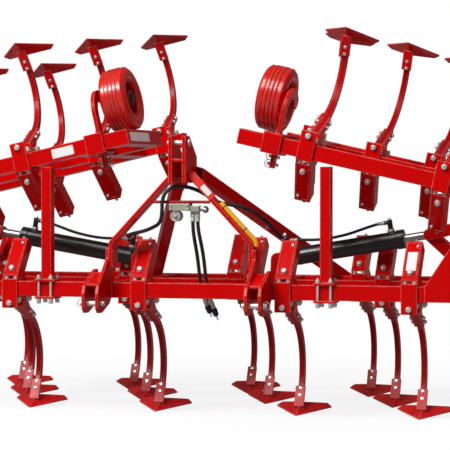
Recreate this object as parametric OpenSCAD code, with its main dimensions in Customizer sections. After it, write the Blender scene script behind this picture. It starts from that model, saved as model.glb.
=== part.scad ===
// Mounted field cultivator: three rows of sprung tines on square beams,
// with two outer wings that fold up and in over the centre section.
// X runs to the right, Y from the tractor to the rear, Z up from the ground.

/* [Main frame] */
// Outside width of the square beams
beam_w = 80; // [70:1:90]
// Wall of the square beams
beam_wall = 8; // [5:1:10]
// Height of the beams' centre above the ground
beam_z = 670; // [660:1:680]
// Distance from one row of tines to the next
row_gap = 520; // [510:1:530]
// Length of the centre beams past the place of their outer tine
beam_end = 30; // [28:1:35]
// Width of the fore and aft rails
rail_w = 60; // [50:1:70]
// Front face of the front beam, from the middle of the whole length
front_y = -660; // [-665:1:-655]

/* [Wings] */
// Distance of a fold pin past the end of the centre beams
hinge_out = 20; // [18:1:24]
// Height of the fold pins above the ground
hinge_z = 937; // [930:1:945]
// Angle through which a wing folds in over the centre
fold_angle = 167.3; // [165:0.1:168]
// Diameter of the fold pins
hinge_pin_d = 40; // [30:1:45]
// Gap between a pin and the bore that turns on it, on the radius
play = 0.05; // [0.03:0.01:0.1]
// Outside diameter of the boss round a fold pin
hinge_boss_d = 76; // [66:1:90]
// Length of a wing beam past the place of its last tine
wing_end = 130; // [120:5:140]
// Distance from the fold pin out to the start of a wing beam
wing_start = 30; // [28:1:34]
// Thickness of the plates at the fold pins
hinge_plate_t = 12; // [8:1:14]

/* [Tines] */
// Distance between the paths of two tines
tine_gap = 240; // [236:1:244]
// Side of the square tine bar
shank_w = 30; // [25:1:32]
// Radius of the tine's bow, at the middle of the bar
shank_r = 275; // [265:1:285]
// Drop of the tine's upper end below the beam's centre
shank_drop = 165; // [160:1:172]
// Distance of the bow's start behind the beam's centre
shank_back = 250; // [245:1:258]
// Slope of the tine's upper end
shank_slope = 25; // [23:1:27]
// Width across the clamp plates and spring boxes
module_w = 84; // [80:1:90]
// Thickness of the clamp plates
clamp_t = 12; // [8:1:14]
// Length of a spring box
box_l = 250; // [235:1:265]
// Depth of a spring box
box_d = 76; // [70:1:84]
// Lean of a spring box from the upright
box_lean = 39; // [36:1:42]
// Sheet of the spring boxes
box_t = 8; // [5:1:8]
// Outside diameter of the springs
spring_d = 56; // [46:1:60]
// Wire of the springs
wire_d = 10; // [8:1:12]
// Width of a share across its wings
share_w = 300; // [280:1:310]
// Length of a share from its nose to its wing tips
share_l = 217; // [205:1:225]
// Thickness of a share
share_t = 8; // [6:1:10]
// Width of the stem that bolts the share to the tine
stem_w = 53; // [50:1:58]

/* [Headstock] */
// Distance of the lower hitch brackets from the centre plane
hitch_x = 435; // [425:1:445]
// Height of the lower hitch pins
hitch_z = 608; // [600:1:615]
// Diameter of the lower hitch pins
lower_pin_d = 28; // [28:1:30]
// Clear width between the plates of a lower hitch bracket
clevis_gap = 58; // [54:1:62]
// Plate thickness of the lower hitch brackets
clevis_t = 16; // [12:1:18]
// Height of the top link pin
top_z = 1443; // [1435:1:1450]
// Diameter of the top link pin
top_pin_d = 25; // [25:1:27]
// Clear width between the head plates
head_gap = 54; // [52:1:58]
// Plate thickness of the head
head_t = 20; // [16:1:22]
// Thickness of the front struts
strut_t = 20; // [16:1:24]
// Side of the square braces to the rear beam
brace_w = 60; // [55:1:65]

/* [Wheels] */
// Diameter of the gauge wheels
wheel_d = 350; // [340:1:360]
// Width of the gauge wheels
wheel_w = 150; // [145:1:155]
// Diameter of the wheel axles
axle_d = 40; // [30:1:45]
// Distance of the wheels from the fold pin, along the wing
wheel_a = 1195; // [1190:1:1200]
// Height of the wheel axles when the wing is down
wheel_z = 445; // [440:1:447]

/* [Fold cylinders] */
// Diameter of the barrels
barrel_d = 95; // [90:1:100]
// Diameter of the rods
rod_d = 45; // [40:1:48]
// Diameter of the pins
cyl_pin_d = 35; // [30:1:38]
// Distance of the barrel's pin from the centre plane
base_x = 395; // [390:1:398]
// Height of the barrel's pin
base_z = 821; // [816:1:828]
// Distance of the rod's eye in from the fold pin, wings folded
eye_inset = 269; // [263:1:275]
// Height of the rod's eye, wings folded
eye_z = 960; // [955:1:965]
// Distance of the rocker's pin in from the fold pin
rocker_inset = 90; // [85:1:95]
// Height of the rocker's pin
rocker_z = 800; // [795:1:805]
// Distance of the cylinders behind the middle beam's front face
cyl_back = -15; // [-20:1:-10]

/* [Hoses] */
// Outside diameter of the supply hoses and the hose across
hose_d = 20; // [18:1:22]
// Outside diameter of the hoses along the barrels
port_hose_d = 16; // [14:1:17]

/* [Hidden] */
$fn = 48;

paint = "#c80a0a";
dark_paint = "#a00808";
zinc = "#b8b8b0";
black = "#202020";
half_beam = beam_w / 2;
beam_top = beam_z + half_beam;
beam_low = beam_z - half_beam;
small = 0.01;

// Tines: each row is [row of beams, place along X in tine gaps, shift in X]
ROW = 0;
PLACE = 1;
SHIFT = 2;
centre_tines = [
  [0, -4, 0], [0, -1, 0], [0, 2, 60], [0, 5, 0],
  [1, -5, 0], [1, -2, 0], [1, 1, 0], [1, 4, 0],
  [2, -6, 15], [2, -3, 0], [2, 0, 0], [2, 3, 0], [2, 6, -15]];
right_tines = [[0, 7, 0], [2, 8, 0], [1, 9, 0], [0, 10, 0], [2, 11, 0]];
left_tines = [[1, 7, 0], [2, 8, 0], [0, 9, 0], [1, 10, 0], [2, 11, 0]];

centre_half = max([for (t = centre_tines) t[PLACE]]) * tine_gap + beam_end;
hinge_x = centre_half + hinge_out;
wing_beam_l = max([for (t = right_tines) t[PLACE]]) * tine_gap + wing_end
  - hinge_x - wing_start;
eye_x = hinge_x - eye_inset;
rocker_x = hinge_x - rocker_inset;
function row_y(row) = row * row_gap + half_beam;
function tine_x(t) = t[PLACE] * tine_gap + t[SHIFT];

// Square tube along X between two places
module beam(x1, x2) {
  translate([x1, -half_beam, -half_beam])
    difference() {
      cube([x2 - x1, beam_w, beam_w]);
      translate([-1, beam_wall, beam_wall])
        cube([x2 - x1 + 2, beam_w - 2 * beam_wall, beam_w - 2 * beam_wall]);
    }
}

// Plate whose outline lies in Y and Z, centred on X
module side_plate(outline, t) {
  rotate([90, 0, 90])
    translate([0, 0, -t / 2])
      linear_extrude(t) polygon(outline);
}

// Plate whose outline lies in X and Z, centred on Y
module cross_plate(outline, t) {
  rotate([90, 0, 0])
    translate([0, 0, -t / 2])
      linear_extrude(t) polygon(outline);
}

module pin_y(x, y, z, d, l) {
  translate([x, y + l / 2, z]) rotate([90, 0, 0]) cylinder(d = d, h = l);
}

module pin_x(x, y, z, d, l) {
  translate([x - l / 2, y, z]) rotate([0, 90, 0]) cylinder(d = d, h = l);
}

module at_front() {
  translate([0, front_y, 0]) children();
}

// Draws a piece of the right side, or its mirror image on the left
module side(s) {
  mirror([s < 0 ? 1 : 0, 0, 0]) children();
}

// Turns a piece of a lowered right wing up about the fold pin
module folded() {
  translate([hinge_x, 0, hinge_z])
    rotate([0, -fold_angle, 0])
      translate([-hinge_x, 0, -hinge_z]) children();
}

module front_beam() { color(paint) at_front() row_beam(0); }
module middle_beam() { color(paint) at_front() row_beam(1); }
module rear_beam() { color(paint) at_front() row_beam(2); }

module row_beam(row) {
  translate([0, row_y(row), beam_z]) beam(-centre_half, centre_half);
}

// Fore and aft tube on the beams' level, from a place in Y
module rail(x, y, l) {
  translate([x - rail_w / 2, y, beam_low])
    difference() {
      cube([rail_w, l, beam_w]);
      translate([beam_wall, -1, beam_wall])
        cube([rail_w - 2 * beam_wall, l + 2, beam_w - 2 * beam_wall]);
    }
}

outer_rail_x = centre_half - 130;
rail_x = [-outer_rail_x, -380, 380, outer_rail_x];
module frame_rails() {
  color(paint) at_front()
    for (x = rail_x, row = [0, 1]) {
      start = row == 0 && abs(x) > centre_half - bracket_foot ? hinge_plate_t : 0;
      rail(x, row_y(row) + half_beam + start, row_gap - beam_w - start);
    }
}

// Hinges: one pair of plates on the front beam's end, one on the outer rail
bracket_foot = 190;
hinge_reach = hinge_boss_d / 2 + 8;
hinge_eye = [[hinge_x + hinge_reach, hinge_z - hinge_reach],
  [hinge_x + hinge_reach, hinge_z + hinge_reach / 2],
  [hinge_x + hinge_reach / 2, hinge_z + hinge_reach],
  [hinge_x - hinge_reach / 2, hinge_z + hinge_reach],
  [hinge_x - hinge_reach, hinge_z + hinge_reach / 2]];
rail_out = rail_x[3] + rail_w / 2;
beam_bracket = concat([[centre_half - bracket_foot, beam_low], [centre_half, beam_low],
  [centre_half, beam_top]], hinge_eye, [[centre_half - bracket_foot, beam_top]]);
rail_bracket = concat([[rail_out - rail_w, beam_top], [rail_out, beam_top],
  [rail_out, beam_low + 5], [rail_out + 45, beam_low + 5]], hinge_eye);
rail_hinge_y = 860;
hinge_ys = [row_y(0), rail_hinge_y];
module hinge_brackets() {
  t = hinge_plate_t;
  color(paint) at_front()
    for (s = [-1, 1], i = [0, 1], face = [-1, 1])
      side(s)
        translate([0, hinge_ys[i] + face * (half_beam + t / 2), 0])
          difference() {
            cross_plate(i == 0 ? beam_bracket : rail_bracket, t);
            pin_y(hinge_x, 0, hinge_z, hinge_pin_d + 2 * play, 2 * t);
          }
}

pin_head = 10;
module hinge_pins() {
  l = beam_w + 2 * hinge_plate_t;
  color(zinc) at_front()
    for (s = [-1, 1], y = hinge_ys)
      side(s) {
        pin_y(hinge_x, y, hinge_z, hinge_pin_d, l);
        for (face = [-1, 1])
          pin_y(hinge_x, y + face * (l + pin_head) / 2, hinge_z,
            hinge_pin_d + 16, pin_head);
      }
}

// Head that takes the top link
top_y = -60;
head_top = top_z + 35;
head_low = 1234;
head_back = 110;
module headstock() {
  color(paint) at_front() {
    for (s = [-1, 1])
      translate([s * (head_gap + head_t) / 2, 0, 0])
        difference() {
          side_plate([[-100, head_top], [-25, head_top], [head_back, 1370],
            [head_back, 1250], [40, head_low], [-100, head_low]], head_t);
          pin_x(0, top_y, top_z, top_pin_d + 2 * play, 2 * head_t);
        }
    translate([-head_gap / 2, 60, 1262]) cube([head_gap, 50, 90]);
    translate([-head_gap / 2, -92, 1345]) cube([head_gap, 60, 14]);
  }
}

module top_pin() {
  color(zinc) at_front() {
    pin_x(0, top_y, top_z, top_pin_d, head_gap + 2 * head_t + 30);
    pin_x(head_gap / 2 + head_t + 9, top_y, top_z, top_pin_d + 16, 10);
  }
}

strut_y = -45;
strut_depth = 90;
strut_top = 1290;
strut_knee = 925;
strut_low = 790;
strut_x0 = head_gap / 2 + head_t;
strut_x1 = hitch_x - clevis_gap / 2 - clevis_t - strut_t;
strut_fall = (strut_top - strut_knee) / (strut_x1 + strut_t - strut_x0);
strut_cut = strut_t * sqrt(1 + strut_fall * strut_fall);
function strut_in(z) = strut_x0 + (strut_top - strut_cut - z) / strut_fall;
module front_struts() {
  inner = strut_top - strut_cut;
  color(paint) at_front()
    for (s = [-1, 1])
      side(s)
        translate([0, strut_y + strut_depth / 2, 0])
          cross_plate([
            [strut_x0, strut_top], [strut_x0, inner],
            [strut_x1, inner - (strut_x1 - strut_x0) * strut_fall], [strut_x1, strut_low],
            [strut_x1 + strut_t, strut_low], [strut_x1 + strut_t, strut_knee]],
            strut_depth);
}

brace_feet = [-480, 616];
brace_wall = 5;
module square_tube(l, w, wall) {
  translate([-100, -w / 2, -w / 2])
    difference() {
      cube([l, w, w]);
      translate([-1, wall, wall]) cube([l + 2, w - 2 * wall, w - 2 * wall]);
    }
}

module back_braces() {
  y0 = head_back - 20;
  y1 = row_y(2);
  z0 = 1299;
  color(paint) at_front()
    for (x1 = brace_feet) {
      x0 = x1 < 0 ? -brace_w / 2 - 6 : brace_w / 2 + 6;
      run = sqrt((x1 - x0) * (x1 - x0) + (y1 - y0) * (y1 - y0));
      intersection() {
        translate([x0, y0, z0])
          rotate([0, 0, atan2(y1 - y0, x1 - x0)])
            rotate([0, atan2(z0 - beam_top, run), 0])
              square_tube(2000, brace_w, brace_wall);
        translate([-1000, head_back, beam_top]) cube([2000, 1500, 800]);
      }
    }
}

// Lower hitch brackets: the inner plate carries on up to the foot of the strut
hitch_y = -178;
tongue = [[-205, 700], [-222, 660], [-222, 585], [-195, 559], [-150, 559], [-30, 600],
  [0, beam_low]];
inner_plate = concat(tongue, [[0, beam_top], [45, beam_top], [45, 890], [-45, 890],
  [-45, 840]]);
outer_plate = concat(tongue, [[0, 780], [-40, 780]]);
bracket_web = [[-60, 766], [-60, 754], [-180, 696], [-180, 708]];
module lower_brackets() {
  color(paint) at_front()
    for (s = [-1, 1])
      side(s) {
        for (f = [-1, 1])
          translate([hitch_x + f * (clevis_gap + clevis_t) / 2, 0, 0])
            difference() {
              side_plate(f < 0 ? inner_plate : outer_plate, clevis_t);
              pin_x(0, hitch_y, hitch_z, lower_pin_d + 2 * play, 2 * clevis_t);
            }
        translate([hitch_x, 0, 0])
          side_plate(bracket_web, clevis_gap);
      }
}

module lower_pins() {
  color(zinc) at_front()
    for (s = [-1, 1]) {
      pin_x(s * hitch_x, hitch_y, hitch_z, lower_pin_d, clevis_gap + 2 * clevis_t + 40);
      pin_x(s * (hitch_x + clevis_gap / 2 + clevis_t + 6), hitch_y, hitch_z,
        lower_pin_d + 14, 8);
    }
}

rest_x = 760;
rest_w = 55;
rest_top = 1318;
module wing_rests() {
  color(paint) at_front()
    for (s = [-1, 1])
      side(s) {
        translate([rest_x - rest_w / 2, half_beam - rest_w / 2, beam_top + 12])
          cube([rest_w, rest_w, rest_top - beam_top - 12]);
        translate([rest_x - 55, -20, beam_top]) cube([110, beam_w + 40, 12]);
        translate([rest_x - 55, -20, beam_low - 12]) cube([110, beam_w + 40, 12]);
      }
}

bow_z = 1135;
bow_d = 16;
bow_y = -30;
module hose_bow() {
  color(dark_paint) at_front()
    pin_x(0, bow_y, bow_z, bow_d, 2 * strut_in(bow_z + bow_d / 2) - 0.6);
}

block_l = 110;
block_w = 60;
block_h = 38;
block_low = bow_z - bow_d / 2 - block_h;
manifold = [50, 44, 30];
manifold_low = block_low - 4;
port_stub_d = 24;
supply_xs = [66, 92];
supply_z = 1070;
spool_x = -22;
spool_d = 58;
spool_l = 46;
module valve_block() {
  color("#b0aca0") at_front() {
    translate([-block_l / 2, bow_y - block_w / 2, block_low])
      cube([block_l, block_w, block_h]);
    translate([block_l / 2, bow_y - manifold[1] / 2, manifold_low]) cube(manifold);
    for (x = supply_xs)
      translate([x, bow_y, supply_z])
        cylinder(d = port_stub_d, h = block_low - supply_z);
    pin_y(spool_x, bow_y, block_low + 2 - spool_d / 2, spool_d, spool_l);
  }
}

// Hoses, each swept along the points of its route
supply_route_a = [[66, -30, 1070], [66, -30, 1040], [65, -18, 985], [63, 15, 930],
  [62, 55, 870], [63, 85, 800], [66, 102, 730], [71, 108, 685], [81, 108, 647],
  [96, 108, 610]];
supply_route_b = [[92, -30, 1070], [92, -30, 1040], [93, -16, 985], [94, 18, 930],
  [94, 58, 870], [95, 88, 800], [98, 104, 730], [105, 110, 675], [115, 110, 632],
  [130, 110, 595]];
cross_route = [[-430, 474, 940], [-430, 440, 940], [-426, 395, 942], [-408, 345, 949],
  [-370, 290, 958], [-315, 235, 968], [-250, 170, 982], [-190, 100, 1000],
  [-140, 30, 1020], [-108, -26, 1050], [-94, -55, 1092], [-90, -60, 1140],
  [-74, -55, 1184], [-38, -38, 1211], [10, 0, 1214], [62, 45, 1198], [105, 85, 1170],
  [150, 110, 1140], [205, 130, 1122], [265, 150, 1112], [320, 190, 1090],
  [360, 240, 1055], [390, 300, 1015], [414, 365, 972], [428, 415, 945],
  [430, 440, 940], [430, 474, 940]];
port_route = [[82, 0, 88], [108, 0, 88], [150, 0, 82], [205, 0, 73], [270, 0, 68],
  [340, 0, 69], [410, 0, 75], [475, 0, 86], [530, 0, 95], [575, 0, 100], [602, 0, 100]];
hose_sides = 10;
function unit(v) = v / norm(v);
function hose_dirs(p) = [for (i = [0:len(p) - 1])
  unit(p[min(i + 1, len(p) - 1)] - p[max(i - 1, 0)])];
function square_to(v, t) = unit(v - (v * t) * t);
function carried(dirs, v, i = 0) = i == len(dirs) ? [] :
  let(u = square_to(v, dirs[i])) concat([u], carried(dirs, u, i + 1));
module hose(p, d) {
  n = hose_sides;
  last = len(p) - 1;
  dirs = hose_dirs(p);
  ups = carried(dirs, [1, 1, 1]);
  points = [for (i = [0:last], k = [0:n - 1])
    let(a = 360 * k / n)
      p[i] + d / 2 * (cos(a) * ups[i] + sin(a) * cross(dirs[i], ups[i]))];
  corners = [for (i = [0:last - 1], k = [0:n - 1]) [i * n + k, i * n + (k + 1) % n]];
  polyhedron(points, concat(
    [[for (k = [0:n - 1]) k]],
    [for (c = corners) [c[0], c[0] + n, c[1] + n]],
    [for (c = corners) [c[0], c[1] + n, c[1]]],
    [[for (k = [n - 1:-1:0]) last * n + k]]));
}

module supply_hose_a() { color(black) at_front() hose(supply_route_a, hose_d); }
module supply_hose_b() { color(black) at_front() hose(supply_route_b, hose_d); }
module cross_hose() { color(black) at_front() hose(cross_route, hose_d); }

// Couplers that hang on the supply hoses, each with its dust cap
body_d = 27;
body_l = 26;
cap_d = 33;
cap_l = 44;
module couplers() {
  color(zinc) at_front()
    for (route = [supply_route_a, supply_route_b]) {
      last = len(route) - 1;
      translate(route[last])
        rotate([0, acos(hose_dirs(route)[last][2]), 0]) {
          cylinder(d = body_d, h = body_l);
          translate([0, 0, body_l]) cylinder(d = cap_d, h = cap_l);
        }
    }
}

// Shelf on the middle beam with a pair of lugs, for a pin at a place in X and Z
cyl_y = row_gap + cyl_back;
shelf_t = 12;
lug_t = 14;
module lug_pair(x, z, gap, foot) {
  half = foot / 2;
  translate([0, cyl_y, 0]) {
    for (f = [-1, 1])
      translate([0, f * (gap + lug_t) / 2, 0])
        difference() {
          union() {
            cross_plate([[x - half, beam_top + shelf_t], [x + half, beam_top + shelf_t],
              [x + 36, z], [x - 36, z]], lug_t);
            pin_y(x, 0, z, 72, lug_t);
          }
          pin_y(x, 0, z, cyl_pin_d + 2 * play, 2 * lug_t);
        }
    l = gap + 2 * lug_t;
    pin_y(x, 0, z, cyl_pin_d, l);
  }
  w = foot;
  translate([x - w / 2, cyl_y - gap / 2 - lug_t, beam_top])
    cube([w, row_gap + beam_w - cyl_y + gap / 2 + lug_t, shelf_t]);
}

barrel_lug_gap = 62;
rocker_in = 52;
rocker_t = 12;
link_gap = 6;
link_t = 12;
link_in = rocker_in + 2 * rocker_t + 2 * link_gap;
rocker_lug_gap = rocker_in + 2 * rocker_t + 12;
module cylinder_mounts() {
  color(paint) at_front()
    for (s = [-1, 1])
      side(s) {
        lug_pair(base_x, base_z, barrel_lug_gap, 78);
        lug_pair(rocker_x, rocker_z, rocker_lug_gap, 96);
      }
}

// Tine module. Its parts are drawn round the beam's centre, Y to the rear
lean_up = [sin(box_lean), cos(box_lean)];
lean_out = [cos(box_lean), -sin(box_lean)];
half_module = module_w / 2;
box_foot = [-half_beam, half_beam + clamp_t + 18];

tab_drop = 64;
module tine_clamp() {
  o = half_beam + clamp_t;
  low = -half_beam - tab_drop;
  side_plate([[-o, low], [-half_beam, low], [-half_beam, -o], [half_beam, -o],
    [half_beam, -half_beam], [-half_beam, -half_beam], [-half_beam, half_beam],
    [half_beam, half_beam], [half_beam, o], [-o, o]], module_w);
}

holder_dir = [cos(shank_slope), -sin(shank_slope)];
holder_up = [sin(shank_slope), cos(shank_slope)];
shank_start = [shank_back, -shank_drop];
holder_l = 210;
holder_pin = shank_start - 178 * holder_dir + 34 * holder_up;
holder_pin_d = 20;

tab_low = -100;
tab_step = -56;
module tine_box() {
  o = half_beam + clamp_t;
  c = box_foot + box_l * lean_up;
  d = c + box_d * lean_out;
  e = box_foot + 70 * lean_up + box_d * lean_out;
  t = box_t;
  outline = [[-half_beam, o], box_foot, c, d, e, [122, 30], [122, -72], [86, tab_low],
    [half_beam, tab_low], [half_beam, o]];
  for (f = [-1, 1])
    translate([f * (half_module - t / 2), 0, 0])
      difference() {
        side_plate(outline, t);
        pin_x(0, holder_pin[0], holder_pin[1], holder_pin_d + 0.4, 2 * t);
      }
  inner = module_w - 2 * t;
  side_plate([box_foot, c, d, d - t * lean_up, c + t * lean_out - t * lean_up,
    box_foot + t * lean_out], inner);
  side_plate([[half_beam, tab_low], [half_beam, tab_step], [half_beam + t, tab_step],
    [half_beam + t, tab_low]], inner);
}

// Spring drawn as one turned shape with a swell for each coil
spring_from = 48;
spring_rod_d = 18;
function coil_edge(r, p, n) = [for (i = [0:n - 1], k = [0:3])
  [r - wire_d * [0.45, 0.1, 0, 0.1][k], (i + [0, 0.25, 0.5, 0.75][k]) * p]];
module tine_spring() {
  l = box_l - spring_from - box_t;
  n = floor(l / (1.5 * wire_d));
  core = spring_d / 2 - wire_d;
  along_spring()
    translate([0, 0, spring_from])
      rotate_extrude()
        polygon(concat([[core, 0]], coil_edge(spring_d / 2, l / n, n), [[core, l]]));
}

module tine_rod() {
  along_spring() {
    translate([0, 0, spring_from]) cylinder(d = spring_rod_d, h = box_l - spring_from - box_t);
    translate([0, 0, box_l]) cylinder(d = spring_rod_d, h = 40);
    translate([0, 0, box_l]) cylinder(d = 34, h = 16, $fn = 6);
  }
}

// Draws along the middle of a spring box, Z up the box
module along_spring() {
  axis = box_foot + (box_d / 2 + 2) * lean_out;
  translate([0, axis[0], axis[1]]) rotate([-box_lean, 0, 0]) children();
}

module tine_holder() {
  half_in = shank_w / 2 + 1;
  t = 10;
  u = shank_w / 2;
  a = shank_start - (holder_l - 16) * holder_dir;
  b = shank_start + 16 * holder_dir;
  for (f = [-1, 1])
    translate([f * (half_in + t / 2), 0, 0])
      side_plate([a - u * holder_up, b - u * holder_up, b + (u + t) * holder_up,
        a + 120 * holder_dir + (u + t) * holder_up, a + 50 * holder_dir + (u + 42) * holder_up,
        a + (u + 30) * holder_up], t);
  side_plate([a + u * holder_up, b + u * holder_up, b + (u + t) * holder_up,
    a + (u + t) * holder_up], 2 * half_in);
  pin_x(0, holder_pin[0], holder_pin[1], holder_pin_d, module_w + 10);
}

foot_turn = 90;
bow_centre = shank_start - shank_r * holder_up;
foot_dir = [-sin(shank_slope), -cos(shank_slope)];
foot_out = [cos(shank_slope), -sin(shank_slope)];
bow_end = bow_centre + shank_r * foot_out;
foot_l = 70;
bow_steps = 18;
function bow_arc(r) = [for (i = [0:bow_steps])
  bow_centre + r * [cos(90 - shank_slope - foot_turn * i / bow_steps),
    sin(90 - shank_slope - foot_turn * i / bow_steps)]];
function back_arc(r) = [for (i = [bow_steps:-1:0])
  bow_centre + r * [cos(90 - shank_slope - foot_turn * i / bow_steps),
    sin(90 - shank_slope - foot_turn * i / bow_steps)]];
module tine_shank() {
  u = shank_w / 2;
  a = shank_start - (holder_l - 30) * holder_dir;
  side_plate(concat([a - u * holder_up, a + u * holder_up], bow_arc(shank_r + u),
    [bow_end + u * foot_out + foot_l * foot_dir, bow_end - u * foot_out + foot_l * foot_dir],
    back_arc(shank_r - u)), shank_w);
}

// Share with two wings, and the stem that bolts to the tine's foot
nose = [245, -beam_z];
wing_rise = 40;
stem_t = 10;
module tine_share() {
  u = shank_w / 2;
  top = bow_end - u * foot_out + foot_dir;
  low = bow_end - u * foot_out + (foot_l + 46) * foot_dir;
  side_plate([top, low, low - stem_t * foot_out, top - stem_t * foot_out], stem_w);
  translate([0, nose[0], nose[1]])
    for (m = [0, 1])
      mirror([m, 0, 0]) share_wing();
}

module share_wing() {
  tip = [share_w / 2, share_l - 18, wing_rise - 12];
  heel = [share_w / 2 - 26, share_l, wing_rise + 4];
  ridge = [0, 112, 58];
  t = [0, 0, share_t];
  p = [[0, 0, 0], tip, heel, ridge];
  polyhedron(
    [p[0], p[1], p[2], p[3], p[0] + t * 0.4, p[1] + t, p[2] + t, p[3] + t],
    [[0, 1, 2], [0, 2, 3], [4, 6, 5], [4, 7, 6], [0, 5, 1], [0, 4, 5],
      [1, 6, 2], [1, 5, 6], [2, 7, 3], [2, 6, 7], [3, 4, 0], [3, 7, 4]]);
}

// Draws a tine part at each place of a table
module tines(table, s) {
  at_front()
    for (t = table)
      translate([s * tine_x(t), row_y(t[ROW]), beam_z]) children();
}

module centre_clamps() { color(paint) tines(centre_tines, 1) tine_clamp(); }
module centre_boxes() { color(paint) tines(centre_tines, 1) tine_box(); }
module centre_springs() { color(black) tines(centre_tines, 1) { tine_spring(); tine_rod(); } }
module centre_holders() { color(paint) tines(centre_tines, 1) tine_holder(); }
module centre_shanks() { color(paint) tines(centre_tines, 1) tine_shank(); }
module centre_shares() { color(dark_paint) tines(centre_tines, 1) tine_share(); }

// Wing tines stand on a lowered right wing, then fold and mirror
module wing_tines(table, s) {
  side(s) folded() tines(table, 1) children();
}

module wing_beams(s) {
  x1 = hinge_x + wing_start;
  side(s) folded() at_front()
    for (row = [0, 1, 2])
      translate([0, row_y(row), beam_z]) {
        beam(x1, x1 + wing_beam_l);
        translate([x1 + wing_beam_l - beam_wall, -half_beam, -half_beam])
          cube([beam_wall, beam_w, beam_w]);
      }
}

wing_rail_in = hinge_x + 55;
wing_rail_out = hinge_x + 999;
wing_rail_tip = hinge_x + wing_start + wing_beam_l - rail_w / 2;
wing_rails_at = [[wing_rail_in, 0], [wing_rail_in, 1], [wing_rail_out, 0], [wing_rail_out, 1]];
module wing_rails(s) {
  places = s > 0 ? wing_rails_at : concat(wing_rails_at, [[wing_rail_tip, 0]]);
  side(s) folded() at_front()
    for (p = places)
      rail(p[0], row_y(p[1]) + half_beam, row_gap - beam_w);
}

arm_foot = 110;
pull_foot = 94;
pull_r = 110;
pull_angle = 140;
pull = [pull_r * cos(pull_angle - fold_angle), pull_r * sin(pull_angle - fold_angle)];
module wing_arms(s) {
  x1 = hinge_x + wing_start;
  t = hinge_plate_t;
  gap = 5;
  feet = [[x1, x1 + arm_foot], [wing_rail_in - rail_w / 2, wing_rail_in + rail_w / 2]];
  side(s) folded() at_front() {
    for (i = [0, 1])
      translate([0, hinge_ys[i], 0])
        difference() {
          union() {
            for (f = [-1, 1])
              translate([0, f * (half_beam - gap - t / 2), 0])
                cross_plate([[feet[i][0], beam_top], [feet[i][1], beam_top],
                  [hinge_x + hinge_boss_d / 2, hinge_z],
                  [hinge_x - hinge_boss_d / 2, hinge_z]], t);
            pin_y(hinge_x, 0, hinge_z, hinge_boss_d, beam_w - 2 * gap);
          }
          pin_y(hinge_x, 0, hinge_z, hinge_pin_d + 2 * play, 2 * beam_w);
        }
    // Lug that the cylinder's link pulls
    px = hinge_x + pull[0];
    pz = hinge_z + pull[1];
    w = link_in - 2 * link_gap;
    translate([0, cyl_y, 0])
      cross_plate([[px - 30, pz], [px + 30, pz], [px + pull_foot / 2, beam_top + shelf_t],
        [px - pull_foot / 2, beam_top + shelf_t]], w - 30);
    pin_y(px, cyl_y, pz, 60, w);
    translate([px - pull_foot / 2, cyl_y - w / 2, beam_top])
      cube([pull_foot, row_gap + beam_w - cyl_y + w / 2, shelf_t]);
  }
}

// Gauge wheel arm: a bar behind the front beam that bows down to the axle
arm_a = 100;
arm_t = 20;
arm_w = 56;
arm_r = 100;
arm_y = 88 + arm_w / 2;
axle_y = 300;
arm_turn_z = wheel_z + sqrt(arm_r * arm_r - pow(axle_y - arm_y - arm_r, 2));
arm_top = beam_top + 90;
arm_holes = [520, 560, 600, 740, 780];
arm_hole_d = 18;
module wheel_arm(s) {
  x = hinge_x + wheel_a - arm_a;
  turn = atan2(wheel_z - arm_turn_z, axle_y - arm_y - arm_r);
  side(s) folded() at_front() {
    difference() {
      translate([x - arm_t / 2, arm_y - arm_w / 2, arm_turn_z])
        cube([arm_t, arm_w, arm_top - arm_turn_z]);
      for (z = arm_holes)
        pin_x(x, arm_y, z, arm_hole_d, 2 * arm_t);
    }
    translate([x, arm_y + arm_r, arm_turn_z])
      rotate([90, 0, 90])
        rotate([0, 0, 180])
          translate([0, 0, -arm_t / 2])
            rotate_extrude(angle = 180 + turn)
              translate([arm_r - arm_w / 2, 0]) square([arm_w, arm_t]);
    pin_x(x, axle_y, wheel_z, 74, arm_t);
    translate([x, axle_y, wheel_z])
      rotate([0, 90, 0]) cylinder(d = axle_d, h = arm_a + 60);
    difference() {
      translate([x - 50, -14, beam_low - 14]) cube([100, arm_y + arm_w / 2 + 28, beam_w + 28]);
      translate([x - 60, -small, beam_low - small])
        cube([120, beam_w + 2 * small, beam_w + 2 * small]);
      translate([x - arm_t / 2 - small, arm_y - arm_w / 2 - small, 0])
        cube([arm_t + 2 * small, arm_w + 2 * small, 2000]);
    }
  }
}

rim_d = 200;
module wheel_tyre(s) {
  r = wheel_d / 2;
  w = wheel_w / 2;
  side(s) folded() at_front()
    translate([hinge_x + wheel_a, axle_y, wheel_z])
      rotate([0, 90, 0])
        rotate_extrude($fn = 96)
          polygon([[rim_d / 2, -w + 18], [r - 42, -w], [r - 14, -w + 8], [r - 3, -w + 26],
            [r, -w + 40], [r, w - 40], [r - 3, w - 26], [r - 14, w - 8], [r - 42, w],
            [rim_d / 2, w - 18]]);
}

wheel_hub_d = 84;
module wheel_rim(s) {
  w = wheel_w / 2 - 18;
  side(s) folded() at_front()
    translate([hinge_x + wheel_a, axle_y, wheel_z])
      rotate([0, 90, 0])
        rotate_extrude($fn = 96)
          polygon([[axle_d / 2 + play, -w], [wheel_hub_d / 2, -w], [wheel_hub_d / 2, -6],
            [rim_d / 2 - 10, -6], [rim_d / 2 - 10, -w], [rim_d / 2, -w], [rim_d / 2, w],
            [rim_d / 2 - 10, w], [rim_d / 2 - 10, 6], [wheel_hub_d / 2, 6],
            [wheel_hub_d / 2, w], [axle_d / 2 + play, w]]);
}

cyl_dx = eye_x - base_x;
cyl_dz = eye_z - base_z;
cyl_l = sqrt(cyl_dx * cyl_dx + cyl_dz * cyl_dz);
cyl_angle = atan2(cyl_dz, cyl_dx);
barrel_l = cyl_l - 150;

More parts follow.
